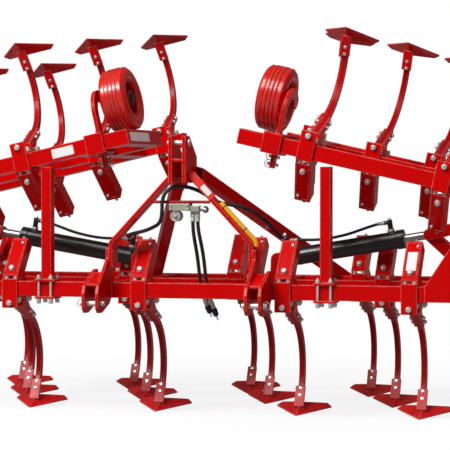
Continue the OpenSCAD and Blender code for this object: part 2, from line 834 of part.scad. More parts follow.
// Draws along the cylinder's line, X from the barrel's pin to the rod's eye
module along_cylinder(s) {
  side(s) at_front()
    translate([base_x, cyl_y, base_z]) rotate([0, -cyl_angle, 0]) children();
}

module barrel(s) {
  along_cylinder(s)
    difference() {
      union() {
        translate([40, 0, 0]) rotate([0, 90, 0]) cylinder(d = barrel_d, h = barrel_l - 40);
        translate([0, 0, 0]) rotate([0, 90, 0]) cylinder(d = 50, h = 60);
        pin_y(0, 0, 0, 70, barrel_lug_gap - 4);
        translate([barrel_l - 30, 0, 0]) rotate([0, 90, 0]) cylinder(d = barrel_d + 8, h = 40);
        fittings();
      }
      pin_y(0, 0, 0, cyl_pin_d + 2 * play, 2 * barrel_lug_gap);
      translate([90, 0, 0]) rotate([0, 90, 0]) cylinder(d = rod_d + 2 * play, h = cyl_l);
    }
}

// Ports of the barrel, each a post with elbows for the hoses
post_d = 28;
elbow_d = 22;
base_port = 54;
end_port = 631;
cross_up = 112;
hose_up = 88;
end_up = 100;
module fittings() {
  z0 = barrel_d / 2 - 6;
  translate([base_port, 0, z0]) cylinder(d = post_d, h = cross_up + 12 - z0);
  translate([end_port, 0, z0]) cylinder(d = post_d, h = end_up + 12 - z0);
  pin_y(base_port, -31 / 2, cross_up, elbow_d, 31);
  pin_x(base_port + 28 / 2, 0, hose_up, elbow_d, 28);
  pin_x(end_port - 29 / 2, 0, end_up, elbow_d, 29);
}

module port_hose(s) { color(black) along_cylinder(s) hose(port_route, port_hose_d); }

eye_d = 68;
module rod(s) {
  along_cylinder(s)
    difference() {
      union() {
        translate([100, 0, 0]) rotate([0, 90, 0]) cylinder(d = rod_d, h = cyl_l - 100 - 20);
        pin_y(cyl_l, 0, 0, eye_d, rocker_in - 12);
      }
      pin_y(cyl_l, 0, 0, cyl_pin_d, rocker_in);
    }
}

rocker_dx = eye_x - rocker_x;
rocker_dz = eye_z - rocker_z;
rocker_l = sqrt(rocker_dx * rocker_dx + rocker_dz * rocker_dz);
rocker_angle = atan2(rocker_dz, rocker_dx);

// Two plates with round ends, from the origin along X, for a pin at each end
module twin_plates(l, inside, t, w, bore_a, bore_b) {
  for (f = [-1, 1])
    translate([0, f * (inside + t) / 2, 0])
      difference() {
        union() {
          cross_plate([[0, -w / 2], [l, -w / 2], [l, w / 2], [0, w / 2]], t);
          pin_y(0, 0, 0, w, t);
          pin_y(l, 0, 0, w, t);
        }
        if (bore_a > 0) pin_y(0, 0, 0, bore_a, 2 * t);
        if (bore_b > 0) pin_y(l, 0, 0, bore_b, 2 * t);
      }
}

module rocker(s) {
  side(s) at_front()
    translate([rocker_x, cyl_y, rocker_z]) rotate([0, -rocker_angle, 0]) {
      twin_plates(rocker_l, rocker_in, rocker_t, 66, cyl_pin_d + 2 * play, cyl_pin_d + 2 * play);
      difference() {
        pin_y(0, 0, 0, cyl_pin_d + 20, rocker_in);
        pin_y(0, 0, 0, cyl_pin_d + 2 * play, rocker_in + 2);
      }
    }
}

pull_rest = [hinge_x + pull_r * cos(pull_angle), hinge_z + pull_r * sin(pull_angle)];
link_dx = pull_rest[0] - eye_x;
link_dz = pull_rest[1] - eye_z;
link_l = sqrt(link_dx * link_dx + link_dz * link_dz);
link_angle = atan2(link_dz, link_dx);
module link(s) {
  side(s) at_front()
    translate([eye_x, cyl_y, eye_z]) rotate([0, -link_angle, 0]) {
      twin_plates(link_l, link_in, link_t, 60, 0, 0);
      for (f = [-1, 1])
        pin_y(link_l, f * (link_in / 2 + link_t + 5), 0, cyl_pin_d, 10);
      for (f = [-1, 1])
        pin_y(0, f * (rocker_in / 2 + (link_in - rocker_in) / 4), 0, cyl_pin_d,
          (link_in - rocker_in) / 2);
    }
}

module right_wing_beams() { color(paint) wing_beams(1); }
module left_wing_beams() { color(paint) wing_beams(-1); }
module right_wing_rails() { color(paint) wing_rails(1); }
module left_wing_rails() { color(paint) wing_rails(-1); }
module right_wing_arms() { color(paint) wing_arms(1); }
module left_wing_arms() { color(paint) wing_arms(-1); }
module right_clamps() { color(paint) wing_tines(right_tines, 1) tine_clamp(); }
module left_clamps() { color(paint) wing_tines(left_tines, -1) tine_clamp(); }
module right_boxes() { color(paint) wing_tines(right_tines, 1) tine_box(); }
module left_boxes() { color(paint) wing_tines(left_tines, -1) tine_box(); }
module right_springs() { color(black) wing_tines(right_tines, 1) { tine_spring(); tine_rod(); } }
module left_springs() { color(black) wing_tines(left_tines, -1) { tine_spring(); tine_rod(); } }
module right_holders() { color(paint) wing_tines(right_tines, 1) tine_holder(); }
module left_holders() { color(paint) wing_tines(left_tines, -1) tine_holder(); }
module right_shanks() { color(paint) wing_tines(right_tines, 1) tine_shank(); }
module left_shanks() { color(paint) wing_tines(left_tines, -1) tine_shank(); }
module right_shares() { color(dark_paint) wing_tines(right_tines, 1) tine_share(); }
module left_shares() { color(dark_paint) wing_tines(left_tines, -1) tine_share(); }
module right_wheel_arm() { color(paint) wheel_arm(1); }
module left_wheel_arm() { color(paint) wheel_arm(-1); }
module right_tyre() { color(paint) wheel_tyre(1); }
module left_tyre() { color(paint) wheel_tyre(-1); }
module right_rim() { color(paint) wheel_rim(1); }
module left_rim() { color(paint) wheel_rim(-1); }
module right_barrel() { color(black) barrel(1); }
module left_barrel() { color(black) barrel(-1); }
module right_rod() { color(zinc) rod(1); }
module left_rod() { color(zinc) rod(-1); }
module right_rocker() { color(paint) rocker(1); }
module left_rocker() { color(paint) rocker(-1); }
module right_link() { color(paint) link(1); }
module left_link() { color(paint) link(-1); }
module right_port_hose() { port_hose(1); }
module left_port_hose() { port_hose(-1); }

front_beam();
middle_beam();
rear_beam();
frame_rails();
hinge_brackets();
hinge_pins();
headstock();
front_struts();
back_braces();
lower_brackets();
lower_pins();
top_pin();
wing_rests();
hose_bow();
valve_block();
supply_hose_a();
supply_hose_b();
couplers();
cross_hose();
cylinder_mounts();
centre_clamps();
centre_boxes();
centre_springs();
centre_holders();
centre_shanks();
centre_shares();
right_wing_beams();
right_wing_rails();
right_wing_arms();
right_clamps();
right_boxes();
right_springs();
right_holders();
right_shanks();
right_shares();
right_wheel_arm();
right_tyre();
right_rim();
right_barrel();
right_rod();
right_rocker();
right_link();
right_port_hose();
left_wing_beams();
left_wing_rails();
left_wing_arms();
left_clamps();
left_boxes();
left_springs();
left_holders();
left_shanks();
left_shares();
left_wheel_arm();
left_tyre();
left_rim();
left_barrel();
left_rod();
left_rocker();
left_link();
left_port_hose();
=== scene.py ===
import math

import bmesh
import bpy
from mathutils import Matrix, Vector


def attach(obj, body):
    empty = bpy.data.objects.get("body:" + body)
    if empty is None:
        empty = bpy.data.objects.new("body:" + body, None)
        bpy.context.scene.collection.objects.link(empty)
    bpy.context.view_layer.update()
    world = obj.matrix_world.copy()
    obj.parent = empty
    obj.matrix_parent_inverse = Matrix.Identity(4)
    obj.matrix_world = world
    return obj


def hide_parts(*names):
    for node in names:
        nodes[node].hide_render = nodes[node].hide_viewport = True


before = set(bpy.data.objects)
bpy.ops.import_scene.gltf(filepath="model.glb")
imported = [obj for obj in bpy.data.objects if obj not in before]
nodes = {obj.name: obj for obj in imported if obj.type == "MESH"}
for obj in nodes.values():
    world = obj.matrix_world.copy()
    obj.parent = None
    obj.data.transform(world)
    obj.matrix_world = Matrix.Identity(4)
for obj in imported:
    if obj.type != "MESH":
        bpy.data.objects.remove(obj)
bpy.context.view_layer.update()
print("frame loaded")

scene = bpy.context.scene
scene.view_settings.view_transform = "Standard"

# Camera.

camera = {"place": (3.129, -11.148, 1.265), "turn": -0.2696, "tip": -0.0229, "lens": 167.8}


def setCamera():
    data = bpy.data.cameras.new("photoCamera")
    data.lens = camera["lens"]
    data.clip_end = 200
    obj = bpy.data.objects.new("photoCamera", data)
    obj.location = camera["place"]
    look = Vector((math.sin(camera["turn"]), math.cos(camera["turn"]), math.tan(camera["tip"])))
    obj.rotation_euler = look.to_track_quat("-Z", "Y").to_euler()
    scene.collection.objects.link(obj)
    scene.camera = obj


setCamera()

# Places shared with the source, in metres.

layout = {
    "frontY": -0.660, "beamZ": 0.670, "halfBeam": 0.040, "rowGap": 0.520, "tineGap": 0.240,
    "hingeX": 1.490, "hingeZ": 0.937, "fold": 167.3, "centreHalf": 1.470,
    "hingeYs": (0.040, 0.860), "wingRoot": 1.520, "wingTip": 2.770,
    "cylY": 0.505, "barrelPin": (0.395, 0.821), "eye": (1.221, 0.960),
    "wheel": (2.685, 0.300, 0.445), "hitch": (0.435, -0.178, 0.608), "restX": 0.760,
    "strutHead": (0.047, 1.290), "strutFoot": (0.390, 0.925),
}
sideNames = ((1, "right"), (-1, "left"))
# Row, place across in tine gaps and a small shift, for each tine.
centreTines = [(0, -4, 0), (0, -1, 0), (0, 2, 0.060), (0, 5, 0), (1, -5, 0), (1, -2, 0),
               (1, 1, 0), (1, 4, 0), (2, -6, 0.015), (2, -3, 0), (2, 0, 0), (2, 3, 0),
               (2, 6, -0.015)]
rightTines = [(0, 7, 0), (2, 8, 0), (1, 9, 0), (0, 10, 0), (2, 11, 0)]
leftTines = [(1, 7, 0), (2, 8, 0), (0, 9, 0), (1, 10, 0), (2, 11, 0)]


def shift(x=0.0, y=0.0, z=0.0):
    return Matrix.Translation((x, y, z))


def turned(degrees, axis):
    return Matrix.Rotation(math.radians(degrees), 4, axis)


# A place measured from the front beam's face.
def atFront(x, y, z):
    return shift(x, layout["frontY"] + y, z)


def frontPoint(point):
    return Vector((point[0], layout["frontY"] + point[1], point[2]))


# Moves a piece of a lowered wing to where it stands folded.
def foldedWing(side):
    hinge = shift(side * layout["hingeX"], 0, layout["hingeZ"])
    return hinge @ turned(-side * layout["fold"], "Y") @ hinge.inverted()


# A place on a folded wing, measured as it stands lowered.
def onWing(side, x, y, z):
    return foldedWing(side) @ atFront(side * x, y, z)


# A matrix for each tine module, Z up and Y to the rear round the beam's centre.
def tinePlaces(table, side):
    wing = Matrix.Identity(4) if side == 0 else foldedWing(side)
    sign = side if side else 1
    return [wing @ atFront(sign * (place * layout["tineGap"] + aside),
                           row * layout["rowGap"] + layout["halfBeam"], layout["beamZ"])
            for row, place, aside in table]


# Z along the fold cylinder, from the barrel's pin to the rod's eye.
def cylinderPlace(side):
    (x0, z0), (x1, z1) = layout["barrelPin"], layout["eye"]
    lean = math.atan2(x1 - x0, z1 - z0)
    return atFront(side * x0, layout["cylY"], z0) @ Matrix.Rotation(side * lean, 4, "Y")


# Shader groups.


def newGroup(name, inputs, outputs):
    tree = bpy.data.node_groups.new(name, "ShaderNodeTree")
    for label, kind, value in inputs:
        socket = tree.interface.new_socket(label, in_out="INPUT",
                                           socket_type="NodeSocket" + kind)
        socket.default_value = value
    for label, kind in outputs:
        tree.interface.new_socket(label, in_out="OUTPUT", socket_type="NodeSocket" + kind)
    return tree, tree.nodes.new("NodeGroupInput"), tree.nodes.new("NodeGroupOutput")


# Links a socket, or sets it where the value is a constant.
def feed(tree, socket, value):
    if hasattr(value, "is_output"):
        tree.links.new(value, socket)
    else:
        socket.default_value = value


def noiseNode(tree, vector, scale, detail=3.0):
    node = tree.nodes.new("ShaderNodeTexNoise")
    for label, value in (("Vector", vector), ("Scale", scale), ("Detail", detail)):
        feed(tree, node.inputs[label], value)
    return node.outputs["Fac"]


def mathNode(tree, operation, first, second):
    node = tree.nodes.new("ShaderNodeMath")
    node.operation = operation
    feed(tree, node.inputs[0], first)
    feed(tree, node.inputs[1], second)
    return node.outputs[0]


def rangeNode(tree, value, low, high, toLow=0.0, toHigh=1.0):
    node = tree.nodes.new("ShaderNodeMapRange")
    node.interpolation_type = "SMOOTHSTEP"
    for label, number in (("Value", value), ("From Min", low), ("From Max", high),
                          ("To Min", toLow), ("To Max", toHigh)):
        feed(tree, node.inputs[label], number)
    return node.outputs["Result"]


def mixColour(tree, factor, first, second):
    node = tree.nodes.new("ShaderNodeMix")
    node.data_type = "RGBA"
    for place, value in ((0, factor), (6, first), (7, second)):
        feed(tree, node.inputs[place], value)
    return node.outputs[2]


# The edge radius and turn set where the painted edge highlight lies, and the noise after them
# breaks it up.
skinDims = {"drift": (0.35, 0.72), "driftRough": 0.10, "edge": 0.008, "edgeSamples": 4,
            "edgeTurn": (0.99, 0.86), "highlightBreakup": (34.0, 4.0), "highlightBreakupRange": (0.30, 0.62, 0.25, 1.0),
            "grain": (160.0, 2.0), "grainDepth": 0.0006}


# Paint or plating: slow drift between two colours, fine grain, a softened edge, and a painted
# highlight that lightens the colour along edges.
def makeSkinGroup():
    tree, start, end = newGroup(
        "skin",
        [("Colour", "Color", (0.5, 0.5, 0.5, 1)), ("Deep", "Color", (0.3, 0.3, 0.3, 1)),
         ("Edge", "Color", (0.7, 0.7, 0.7, 1)), ("Highlight", "Float", 0.5),
         ("Scale", "Float", 6.0), ("Gloss", "Float", 0.25), ("Grain", "Float", 0.05)],
        [("Colour", "Color"), ("Roughness", "Float"), ("Normal", "Vector")])
    place = tree.nodes.new("ShaderNodeTexCoord").outputs["Object"]
    d = skinDims
    drift = rangeNode(tree, noiseNode(tree, place, start.outputs["Scale"]), *d["drift"])
    rough = mathNode(tree, "ADD", start.outputs["Gloss"],
                     mathNode(tree, "MULTIPLY", drift, d["driftRough"]))
    tree.links.new(rough, end.inputs["Roughness"])
    edge = tree.nodes.new("ShaderNodeBevel")
    edge.samples = d["edgeSamples"]
    edge.inputs["Radius"].default_value = d["edge"]
    turn = tree.nodes.new("ShaderNodeVectorMath")
    turn.operation = "DOT_PRODUCT"
    tree.links.new(edge.outputs["Normal"], turn.inputs[0])
    tree.links.new(tree.nodes.new("ShaderNodeNewGeometry").outputs["Normal"], turn.inputs[1])
    # Painted highlight: where the surface turns at an edge, the colour is lightened towards the
    # Edge colour, broken up by noise.
    edgeHighlight = mathNode(tree, "MULTIPLY", rangeNode(tree, turn.outputs["Value"], *d["edgeTurn"]),
                      start.outputs["Highlight"])
    edgeHighlight = mathNode(tree, "MULTIPLY", edgeHighlight,
                      rangeNode(tree, noiseNode(tree, place, *d["highlightBreakup"]), *d["highlightBreakupRange"]))
    painted = mixColour(tree, drift, start.outputs["Colour"], start.outputs["Deep"])
    tree.links.new(mixColour(tree, edgeHighlight, painted, start.outputs["Edge"]),
                   end.inputs["Colour"])
    bump = tree.nodes.new("ShaderNodeBump")
    bump.inputs["Distance"].default_value = d["grainDepth"]
    tree.links.new(noiseNode(tree, place, *d["grain"]), bump.inputs["Height"])
    tree.links.new(start.outputs["Grain"], bump.inputs["Strength"])
    tree.links.new(edge.outputs["Normal"], bump.inputs["Normal"])
    tree.links.new(bump.outputs["Normal"], end.inputs["Normal"])
    return tree


dustDims = {"patches": (24.0, 5.0), "patchRange": (0.30, 0.70), "rough": 0.5}


# Dry soil that lies thicker towards the ground.
def makeDustGroup():
    tree, start, end = newGroup(
        "fieldDust",
        [("Colour", "Color", (0.5, 0.5, 0.5, 1)), ("Roughness", "Float", 0.3),
         ("Dust", "Color", (0.24, 0.16, 0.11, 1)), ("Amount", "Float", 0.4),
         ("Top", "Float", 0.35)],
        [("Colour", "Color"), ("Roughness", "Float")])
    place = tree.nodes.new("ShaderNodeTexCoord").outputs["Object"]
    axes = tree.nodes.new("ShaderNodeSeparateXYZ")
    tree.links.new(place, axes.inputs[0])
    low = rangeNode(tree, axes.outputs["Z"], 0.0, start.outputs["Top"], 1.0, 0.0)
    patches = rangeNode(tree, noiseNode(tree, place, *dustDims["patches"]),
                        *dustDims["patchRange"])
    mask = mathNode(tree, "MULTIPLY", mathNode(tree, "MULTIPLY", low, patches),
                    start.outputs["Amount"])
    tree.links.new(mixColour(tree, mask, start.outputs["Colour"], start.outputs["Dust"]),
                   end.inputs["Colour"])
    tree.links.new(mathNode(tree, "ADD", start.outputs["Roughness"],
                            mathNode(tree, "MULTIPLY", mask, dustDims["rough"])),
                   end.inputs["Roughness"])
    return tree


skinGroup = makeSkinGroup()
dustGroup = makeDustGroup()

# Materials.

# Each finish's edge colour, and the amount it is mixed in, paint a highlight along its edges.
finishes = {
    "redPaint": {"colour": (0.60, 0.0008, 0.0010), "deep": (0.52, 0.0005, 0.0008),
                 "edge": (0.98, 0.24, 0.19), "highlight": 0.95, "gloss": 0.20, "shine": 0.12},
    "tineRed": {"colour": (0.44, 0.0008, 0.0024), "deep": (0.31, 0.0006, 0.0020),
                "edge": (0.90, 0.16, 0.15), "highlight": 0.9, "gloss": 0.24, "shine": 0.14,
                "dust": 0.08, "dustTop": 0.45},
    "shareRed": {"colour": (0.66, 0.0022, 0.0050), "deep": (0.46, 0.0016, 0.0044),
                 "edge": (0.92, 0.20, 0.18), "highlight": 0.9, "gloss": 0.28, "shine": 0.20,
                 "dust": 0.12, "dustTop": 0.16},
    "wheelRed": {"colour": (0.66, 0.0040, 0.0026), "deep": (0.56, 0.0026, 0.0020),
                 "edge": (0.96, 0.20, 0.12), "highlight": 0.7, "gloss": 0.20, "shine": 0.85},
    "blackEnamel": {"colour": (0.012, 0.012, 0.013), "deep": (0.007, 0.007, 0.008),
                    "edge": (0.10, 0.10, 0.10), "highlight": 0.5, "gloss": 0.30, "coat": 0.2},
    "springBlack": {"colour": (0.018, 0.017, 0.017), "deep": (0.009, 0.008, 0.008),
                    "edge": (0.08, 0.07, 0.06), "gloss": 0.42},
    "zincPlate": {"colour": (0.80, 0.78, 0.74), "deep": (0.58, 0.56, 0.53),
                  "edge": (0.92, 0.90, 0.86), "gloss": 0.28, "metal": 0.55, "scale": 30.0},
    "polishedRod": {"colour": (0.42, 0.42, 0.43), "deep": (0.34, 0.34, 0.35),
                    "edge": (0.60, 0.60, 0.60), "gloss": 0.30, "metal": 1.0},
    "valveGrey": {"colour": (0.46, 0.43, 0.35), "deep": (0.35, 0.32, 0.26),
                  "edge": (0.62, 0.60, 0.54), "gloss": 0.40, "metal": 0.3},
    "hoseRubber": {"colour": (0.014, 0.014, 0.015), "deep": (0.022, 0.022, 0.023),
                   "edge": (0.03, 0.03, 0.03), "gloss": 0.50, "grain": 0.25},
    "yellowSleeve": {"colour": (0.86, 0.42, 0.012), "deep": (0.74, 0.32, 0.010),
                     "edge": (0.92, 0.60, 0.10), "gloss": 0.42},
    "blueCap": {"colour": (0.010, 0.018, 0.10), "deep": (0.008, 0.013, 0.065),
                "edge": (0.05, 0.07, 0.22), "gloss": 0.40},
    "paleLabel": {"colour": (0.84, 0.84, 0.82), "deep": (0.74, 0.74, 0.72),
                  "edge": (0.88, 0.88, 0.87), "gloss": 0.35},
    "pinkPlate": {"colour": (0.78, 0.040, 0.030), "deep": (0.70, 0.030, 0.024),
                  "edge": (0.88, 0.12, 0.10), "gloss": 0.32},
    "plugBlack": {"colour": (0.020, 0.020, 0.020), "deep": (0.012, 0.012, 0.012),
                  "edge": (0.06, 0.06, 0.06), "gloss": 0.55},
}
finishDefaults = {"highlight": 0.4, "scale": 6.0, "grain": 0.05, "metal": 0.0, "coat": 0.0,
                  "coatGloss": 0.08, "shine": 0.4}


def newMaterial(name):
    material = bpy.data.materials.new(name)
    material.use_nodes = True
    return material, material.node_tree, material.node_tree.nodes["Principled BSDF"]


def makeFinish(name):
    values = {**finishDefaults, **finishes[name]}
    material, tree, shader = newMaterial(name)
    skin = tree.nodes.new("ShaderNodeGroup")
    skin.node_tree = skinGroup
    for label in ("Colour", "Deep", "Edge"):
        skin.inputs[label].default_value = (*values[label.lower()], 1)
    for label in ("Highlight", "Gloss", "Scale", "Grain"):
        skin.inputs[label].default_value = values[label.lower()]
    for label, key in (("Metallic", "metal"), ("Coat Weight", "coat"),
                       ("Coat Roughness", "coatGloss"), ("Specular IOR Level", "shine")):
        shader.inputs[label].default_value = values[key]
    colour, rough = skin.outputs["Colour"], skin.outputs["Roughness"]
    if "dust" in values:
        dust = tree.nodes.new("ShaderNodeGroup")
        dust.node_tree = dustGroup
        dust.inputs["Amount"].default_value = values["dust"]
        dust.inputs["Top"].default_value = values["dustTop"]
        tree.links.new(colour, dust.inputs["Colour"])
        tree.links.new(rough, dust.inputs["Roughness"])
        colour, rough = dust.outputs["Colour"], dust.outputs["Roughness"]
    tree.links.new(colour, shader.inputs["Base Color"])
    tree.links.new(rough, shader.inputs["Roughness"])
    tree.links.new(skin.outputs["Normal"], shader.inputs["Normal"])
    return material


paints = {name: makeFinish(name) for name in finishes}


def dress(obj, finish):
    obj.data.materials.clear()
    obj.data.materials.append(paints[finish])


# The first key that is found in a CAD node's name gives its finish.
nodeFinish = {"_hose": "hoseRubber", "coupler": "zincPlate", "shank": "tineRed",
              "holder": "shareRed", "share": "shareRed", "tyre": "wheelRed",
              "rim": "tineRed", "barrel": "blackEnamel", "_rod": "polishedRod",
              "spring": "springBlack", "pin": "zincPlate", "valve": "valveGrey",
              "bow": "tineRed"}
for nodeName, nodeObject in nodes.items():
    match = [finish for key, finish in nodeFinish.items() if key in nodeName]
    dress(nodeObject, match[0] if match else "redPaint")
print("materials ready")

# Piece helpers.


def linkObject(name, data, material):
    obj = bpy.data.objects.new(name, data)
    scene.collection.objects.link(obj)
    data.materials.append(material)
    return obj


def linkMesh(mesh, name, material):
    data = bpy.data.meshes.new(name)
    mesh.to_mesh(data)
    mesh.free()
    return linkObject(name, data, material)


# Turns a bmesh into a piece that rides a body.
def finishPiece(mesh, name, finish, body, smooth=35):
    bmesh.ops.recalc_face_normals(mesh, faces=mesh.faces[:])
    obj = linkMesh(mesh, name, paints[finish])
    for face in obj.data.polygons:
        face.use_smooth = True
    obj.data.set_sharp_from_angle(angle=math.radians(smooth))
    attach(obj, body)
    return obj


# A round or many-sided prism that stands on the matrix's XY plane.
def addDisc(mesh, matrix, radius, depth, segments=16, topRadius=None):
    top = radius if topRadius is None else topRadius
    bmesh.ops.create_cone(mesh, cap_ends=True, segments=segments, radius1=radius,
                          radius2=top, depth=depth, matrix=matrix @ shift(z=depth / 2))


def addBlock(mesh, matrix, size):
    bmesh.ops.create_cube(mesh, size=1.0, matrix=matrix @ Matrix.Diagonal((*size, 1)))


# Shares of a bolt's width across flats, and of its head's height.
boltDims = {"washer": 0.62, "washerThick": 0.11, "sunk": 0.10, "corner": 0.577,
            "chamfer": 0.48, "head": 0.62, "stub": 0.32,
            "flats": 0.8, "chamferFrom": 0.78, "chamferTall": 0.2, "stubFrom": 0.9}


# Hexagon head on a washer, Z outwards. A stub shows past it where it is a nut.
def addBolt(mesh, matrix, width, stub=0.0, washer=True):
    d, base = boltDims, 0.0
    if washer:
        addDisc(mesh, matrix, width * d["washer"], width * d["washerThick"], 14)
        base = width * d["sunk"]
    corner, head = width * d["corner"], width * d["head"]
    addDisc(mesh, matrix @ shift(z=base), corner, head * d["flats"], 6)
    addDisc(mesh, matrix @ shift(z=base + head * d["chamferFrom"]), corner,
            head * d["chamferTall"], 6, width * d["chamfer"])
    if stub:
        addDisc(mesh, matrix @ shift(z=base + head * d["stubFrom"]), width * d["stub"],
                stub, 10)


# Turns local Z to a direction.
def facing(direction):
    return Vector(direction).to_track_quat("Z", "Y").to_matrix().to_4x4()


# A place at a point, with local Z to a direction.
def seatAt(point, direction):
    return Matrix.Translation(point) @ facing(direction)


# Spins a line a full turn about local Z.
def spinRound(mesh, matrix, line, steps):
    bmesh.ops.spin(mesh, geom=line, cent=matrix.translation,
                   axis=matrix.to_3x3() @ Vector((0, 0, 1)), angle=math.radians(360),
                   steps=steps, use_merge=True)


# Ring of round wire about local Z.
def addRing(mesh, matrix, radius, wire, steps=20, sides=6):
    loop = bmesh.ops.create_circle(mesh, cap_ends=False, segments=sides, radius=wire / 2,
                                   matrix=matrix @ shift(radius) @ turned(90, "X"))
    edges = list({e for v in loop["verts"] for e in v.link_edges})
    spinRound(mesh, matrix, loop["verts"] + edges, steps)


# A tube bent smoothly through its points.
def makeTube(name, points, radius, finish, rounds, steps):
    data = bpy.data.curves.new(name, "CURVE")
    data.dimensions = "3D"
    data.bevel_depth = radius
    data.bevel_resolution = rounds
    data.resolution_u = steps
    data.use_fill_caps = True
    spline = data.splines.new("BEZIER")
    spline.bezier_points.add(len(points) - 1)
    for knot, point in zip(spline.bezier_points, points):
        knot.co = point
        knot.handle_left_type = knot.handle_right_type = "AUTO"
    return linkObject(name, data, paints[finish])


# Hoses.

supplyRouteA = [(0.066, -0.030, 1.070), (0.066, -0.030, 1.040), (0.065, -0.018, 0.985),
                (0.063, 0.015, 0.930), (0.062, 0.055, 0.870), (0.063, 0.085, 0.800),
                (0.066, 0.102, 0.730), (0.071, 0.108, 0.685), (0.081, 0.108, 0.647),
                (0.096, 0.108, 0.610)]
supplyRouteB = [(0.092, -0.030, 1.070), (0.092, -0.030, 1.040), (0.093, -0.016, 0.985),
                (0.094, 0.018, 0.930), (0.094, 0.058, 0.870), (0.095, 0.088, 0.800),
                (0.098, 0.104, 0.730), (0.105, 0.110, 0.675), (0.115, 0.110, 0.632),
                (0.130, 0.110, 0.595)]
crossRoute = [(-0.430, 0.473, 0.940), (-0.430, 0.440, 0.940), (-0.426, 0.395, 0.942),
              (-0.408, 0.345, 0.949), (-0.370, 0.290, 0.958), (-0.315, 0.235, 0.968),
              (-0.250, 0.170, 0.982), (-0.190, 0.100, 1.000), (-0.140, 0.030, 1.020),
              (-0.108, -0.026, 1.050), (-0.094, -0.055, 1.092), (-0.090, -0.060, 1.140),
              (-0.074, -0.055, 1.184), (-0.038, -0.038, 1.211), (0.010, 0.000, 1.214),
              (0.062, 0.045, 1.198), (0.105, 0.085, 1.170), (0.150, 0.110, 1.140),
              (0.205, 0.130, 1.122), (0.265, 0.150, 1.112), (0.320, 0.190, 1.090),
              (0.360, 0.240, 1.055), (0.390, 0.300, 1.015), (0.414, 0.365, 0.972),
              (0.428, 0.415, 0.945), (0.430, 0.440, 0.940), (0.430, 0.473, 0.940)]
portRoute = [(0.082, 0.088), (0.108, 0.088), (0.150, 0.082), (0.205, 0.073), (0.270, 0.068),
             (0.340, 0.069), (0.410, 0.075), (0.475, 0.086), (0.530, 0.095), (0.575, 0.100),
             (0.602, 0.100)]
hoseDims = {"supply": 0.020, "port": 0.016, "supplyALength": 0.497, "supplyBLength": 0.512,
            "crossLength": 1.630, "portLength": 0.526, "rounds": 3, "steps": 5}
# Lengths along the hose, and widths as shares of its radius.
ferruleDims = {"length": 0.034, "nut": 0.012, "sunk": 0.001, "nutWide": 1.42,
               "neck": (1.05, 0.004), "swages": 4, "ridge": (1.24, 1.20),
               "waist": 1.12, "ridgeShare": 0.72, "waistFrom": 0.7, "waistShare": 0.34}
couplerDims = {"body": 0.0135, "hex": 0.009, "neck": (0.82, 0.003), "grooves": 3,
               "grooveFrom": 0.011, "grooveStep": 0.005, "land": (1.0, 0.0035),
               "groove": (0.9, 0.002), "grooveIn": 0.003, "capFrom": 0.026, "cap": 0.0165,
               "eyeFrom": 0.049, "eye": (0.012, 0.004)}
# Height, length, sides, and shares of the cap's radius at the foot and at the top.
capSteps = ((0.000, 0.003, 28, 0.94, 1.00), (0.003, 0.012, 28, 1.00, 1.00),
            (0.015, 0.003, 28, 0.88, 0.88), (0.018, 0.020, 28, 0.97, 0.80),
            (0.038, 0.004, 20, 0.55, 0.40))


# A point along the fold cylinder and above it, in the cylinder's own plane.
def barrelPoint(side, along, up):
    (x0, z0), (x1, z1) = layout["barrelPin"], layout["eye"]
    axis = Vector((x1 - x0, 0, z1 - z0)).normalized()
    x = x0 + axis.x * along - axis.z * up
    return frontPoint((side * x, layout["cylY"], z0 + axis.z * along + axis.x * up))


# Swaged ferrule and its nut, from the fitting's mouth along the hose.
def addFerrule(mesh, start, toward, diameter):
    d, radius = ferruleDims, diameter / 2
    seat = seatAt(start, (toward - start).normalized())
    nut, step = d["nut"], (d["length"] - d["nut"]) / d["swages"]
    addDisc(mesh, seat @ shift(z=-d["sunk"]), radius * d["nutWide"], nut, 6)
    addDisc(mesh, seat @ shift(z=nut - d["sunk"]), radius * d["neck"][0], d["neck"][1], 14)
    for i in range(d["swages"]):
        low = nut + 2 * d["sunk"] + i * step
        addDisc(mesh, seat @ shift(z=low), radius * d["ridge"][0], step * d["ridgeShare"],
                14, radius * d["ridge"][1])
        addDisc(mesh, seat @ shift(z=low + d["waistFrom"] * step), radius * d["waist"],
                step * d["waistShare"], 14)


# Quick coupler: hexagon, sliding sleeve with grooves, and a dust cap with its strap eye.
def addCoupler(metal, caps, start, before):
    seat = seatAt(start, (start - before).normalized())
    c = couplerDims
    addDisc(metal, seat, c["body"], c["hex"], 6)
    addDisc(metal, seat @ shift(z=c["hex"]), c["body"] * c["neck"][0], c["neck"][1], 20)
    for i in range(c["grooves"]):
        low = c["grooveFrom"] + i * c["grooveStep"]
        for height, (share, length) in ((low, c["land"]), (low + c["grooveIn"], c["groove"])):
            addDisc(metal, seat @ shift(z=height), c["body"] * share, length, 24)
    for height, length, sides, foot, top in capSteps:
        addDisc(caps, seat @ shift(z=c["capFrom"] + height), c["cap"] * foot, length, sides,
                c["cap"] * top)
    addRing(metal, seat @ shift(z=c["capFrom"] + c["eyeFrom"]) @ turned(90, "X"), *c["eye"])


def makeHose(name, points, diameter, body, node):
    obj = makeTube(name, points, diameter / 2, "hoseRubber", hoseDims["rounds"],
                   hoseDims["steps"])
    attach(obj, body)
    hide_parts(node)
    return obj


def makeFerrules(name, points, diameter, body):
    ferrules = bmesh.new()
    addFerrule(ferrules, points[0], points[1], diameter)
    addFerrule(ferrules, points[-1], points[-2], diameter)
    return finishPiece(ferrules, name + "Ferrules", "zincPlate", body)


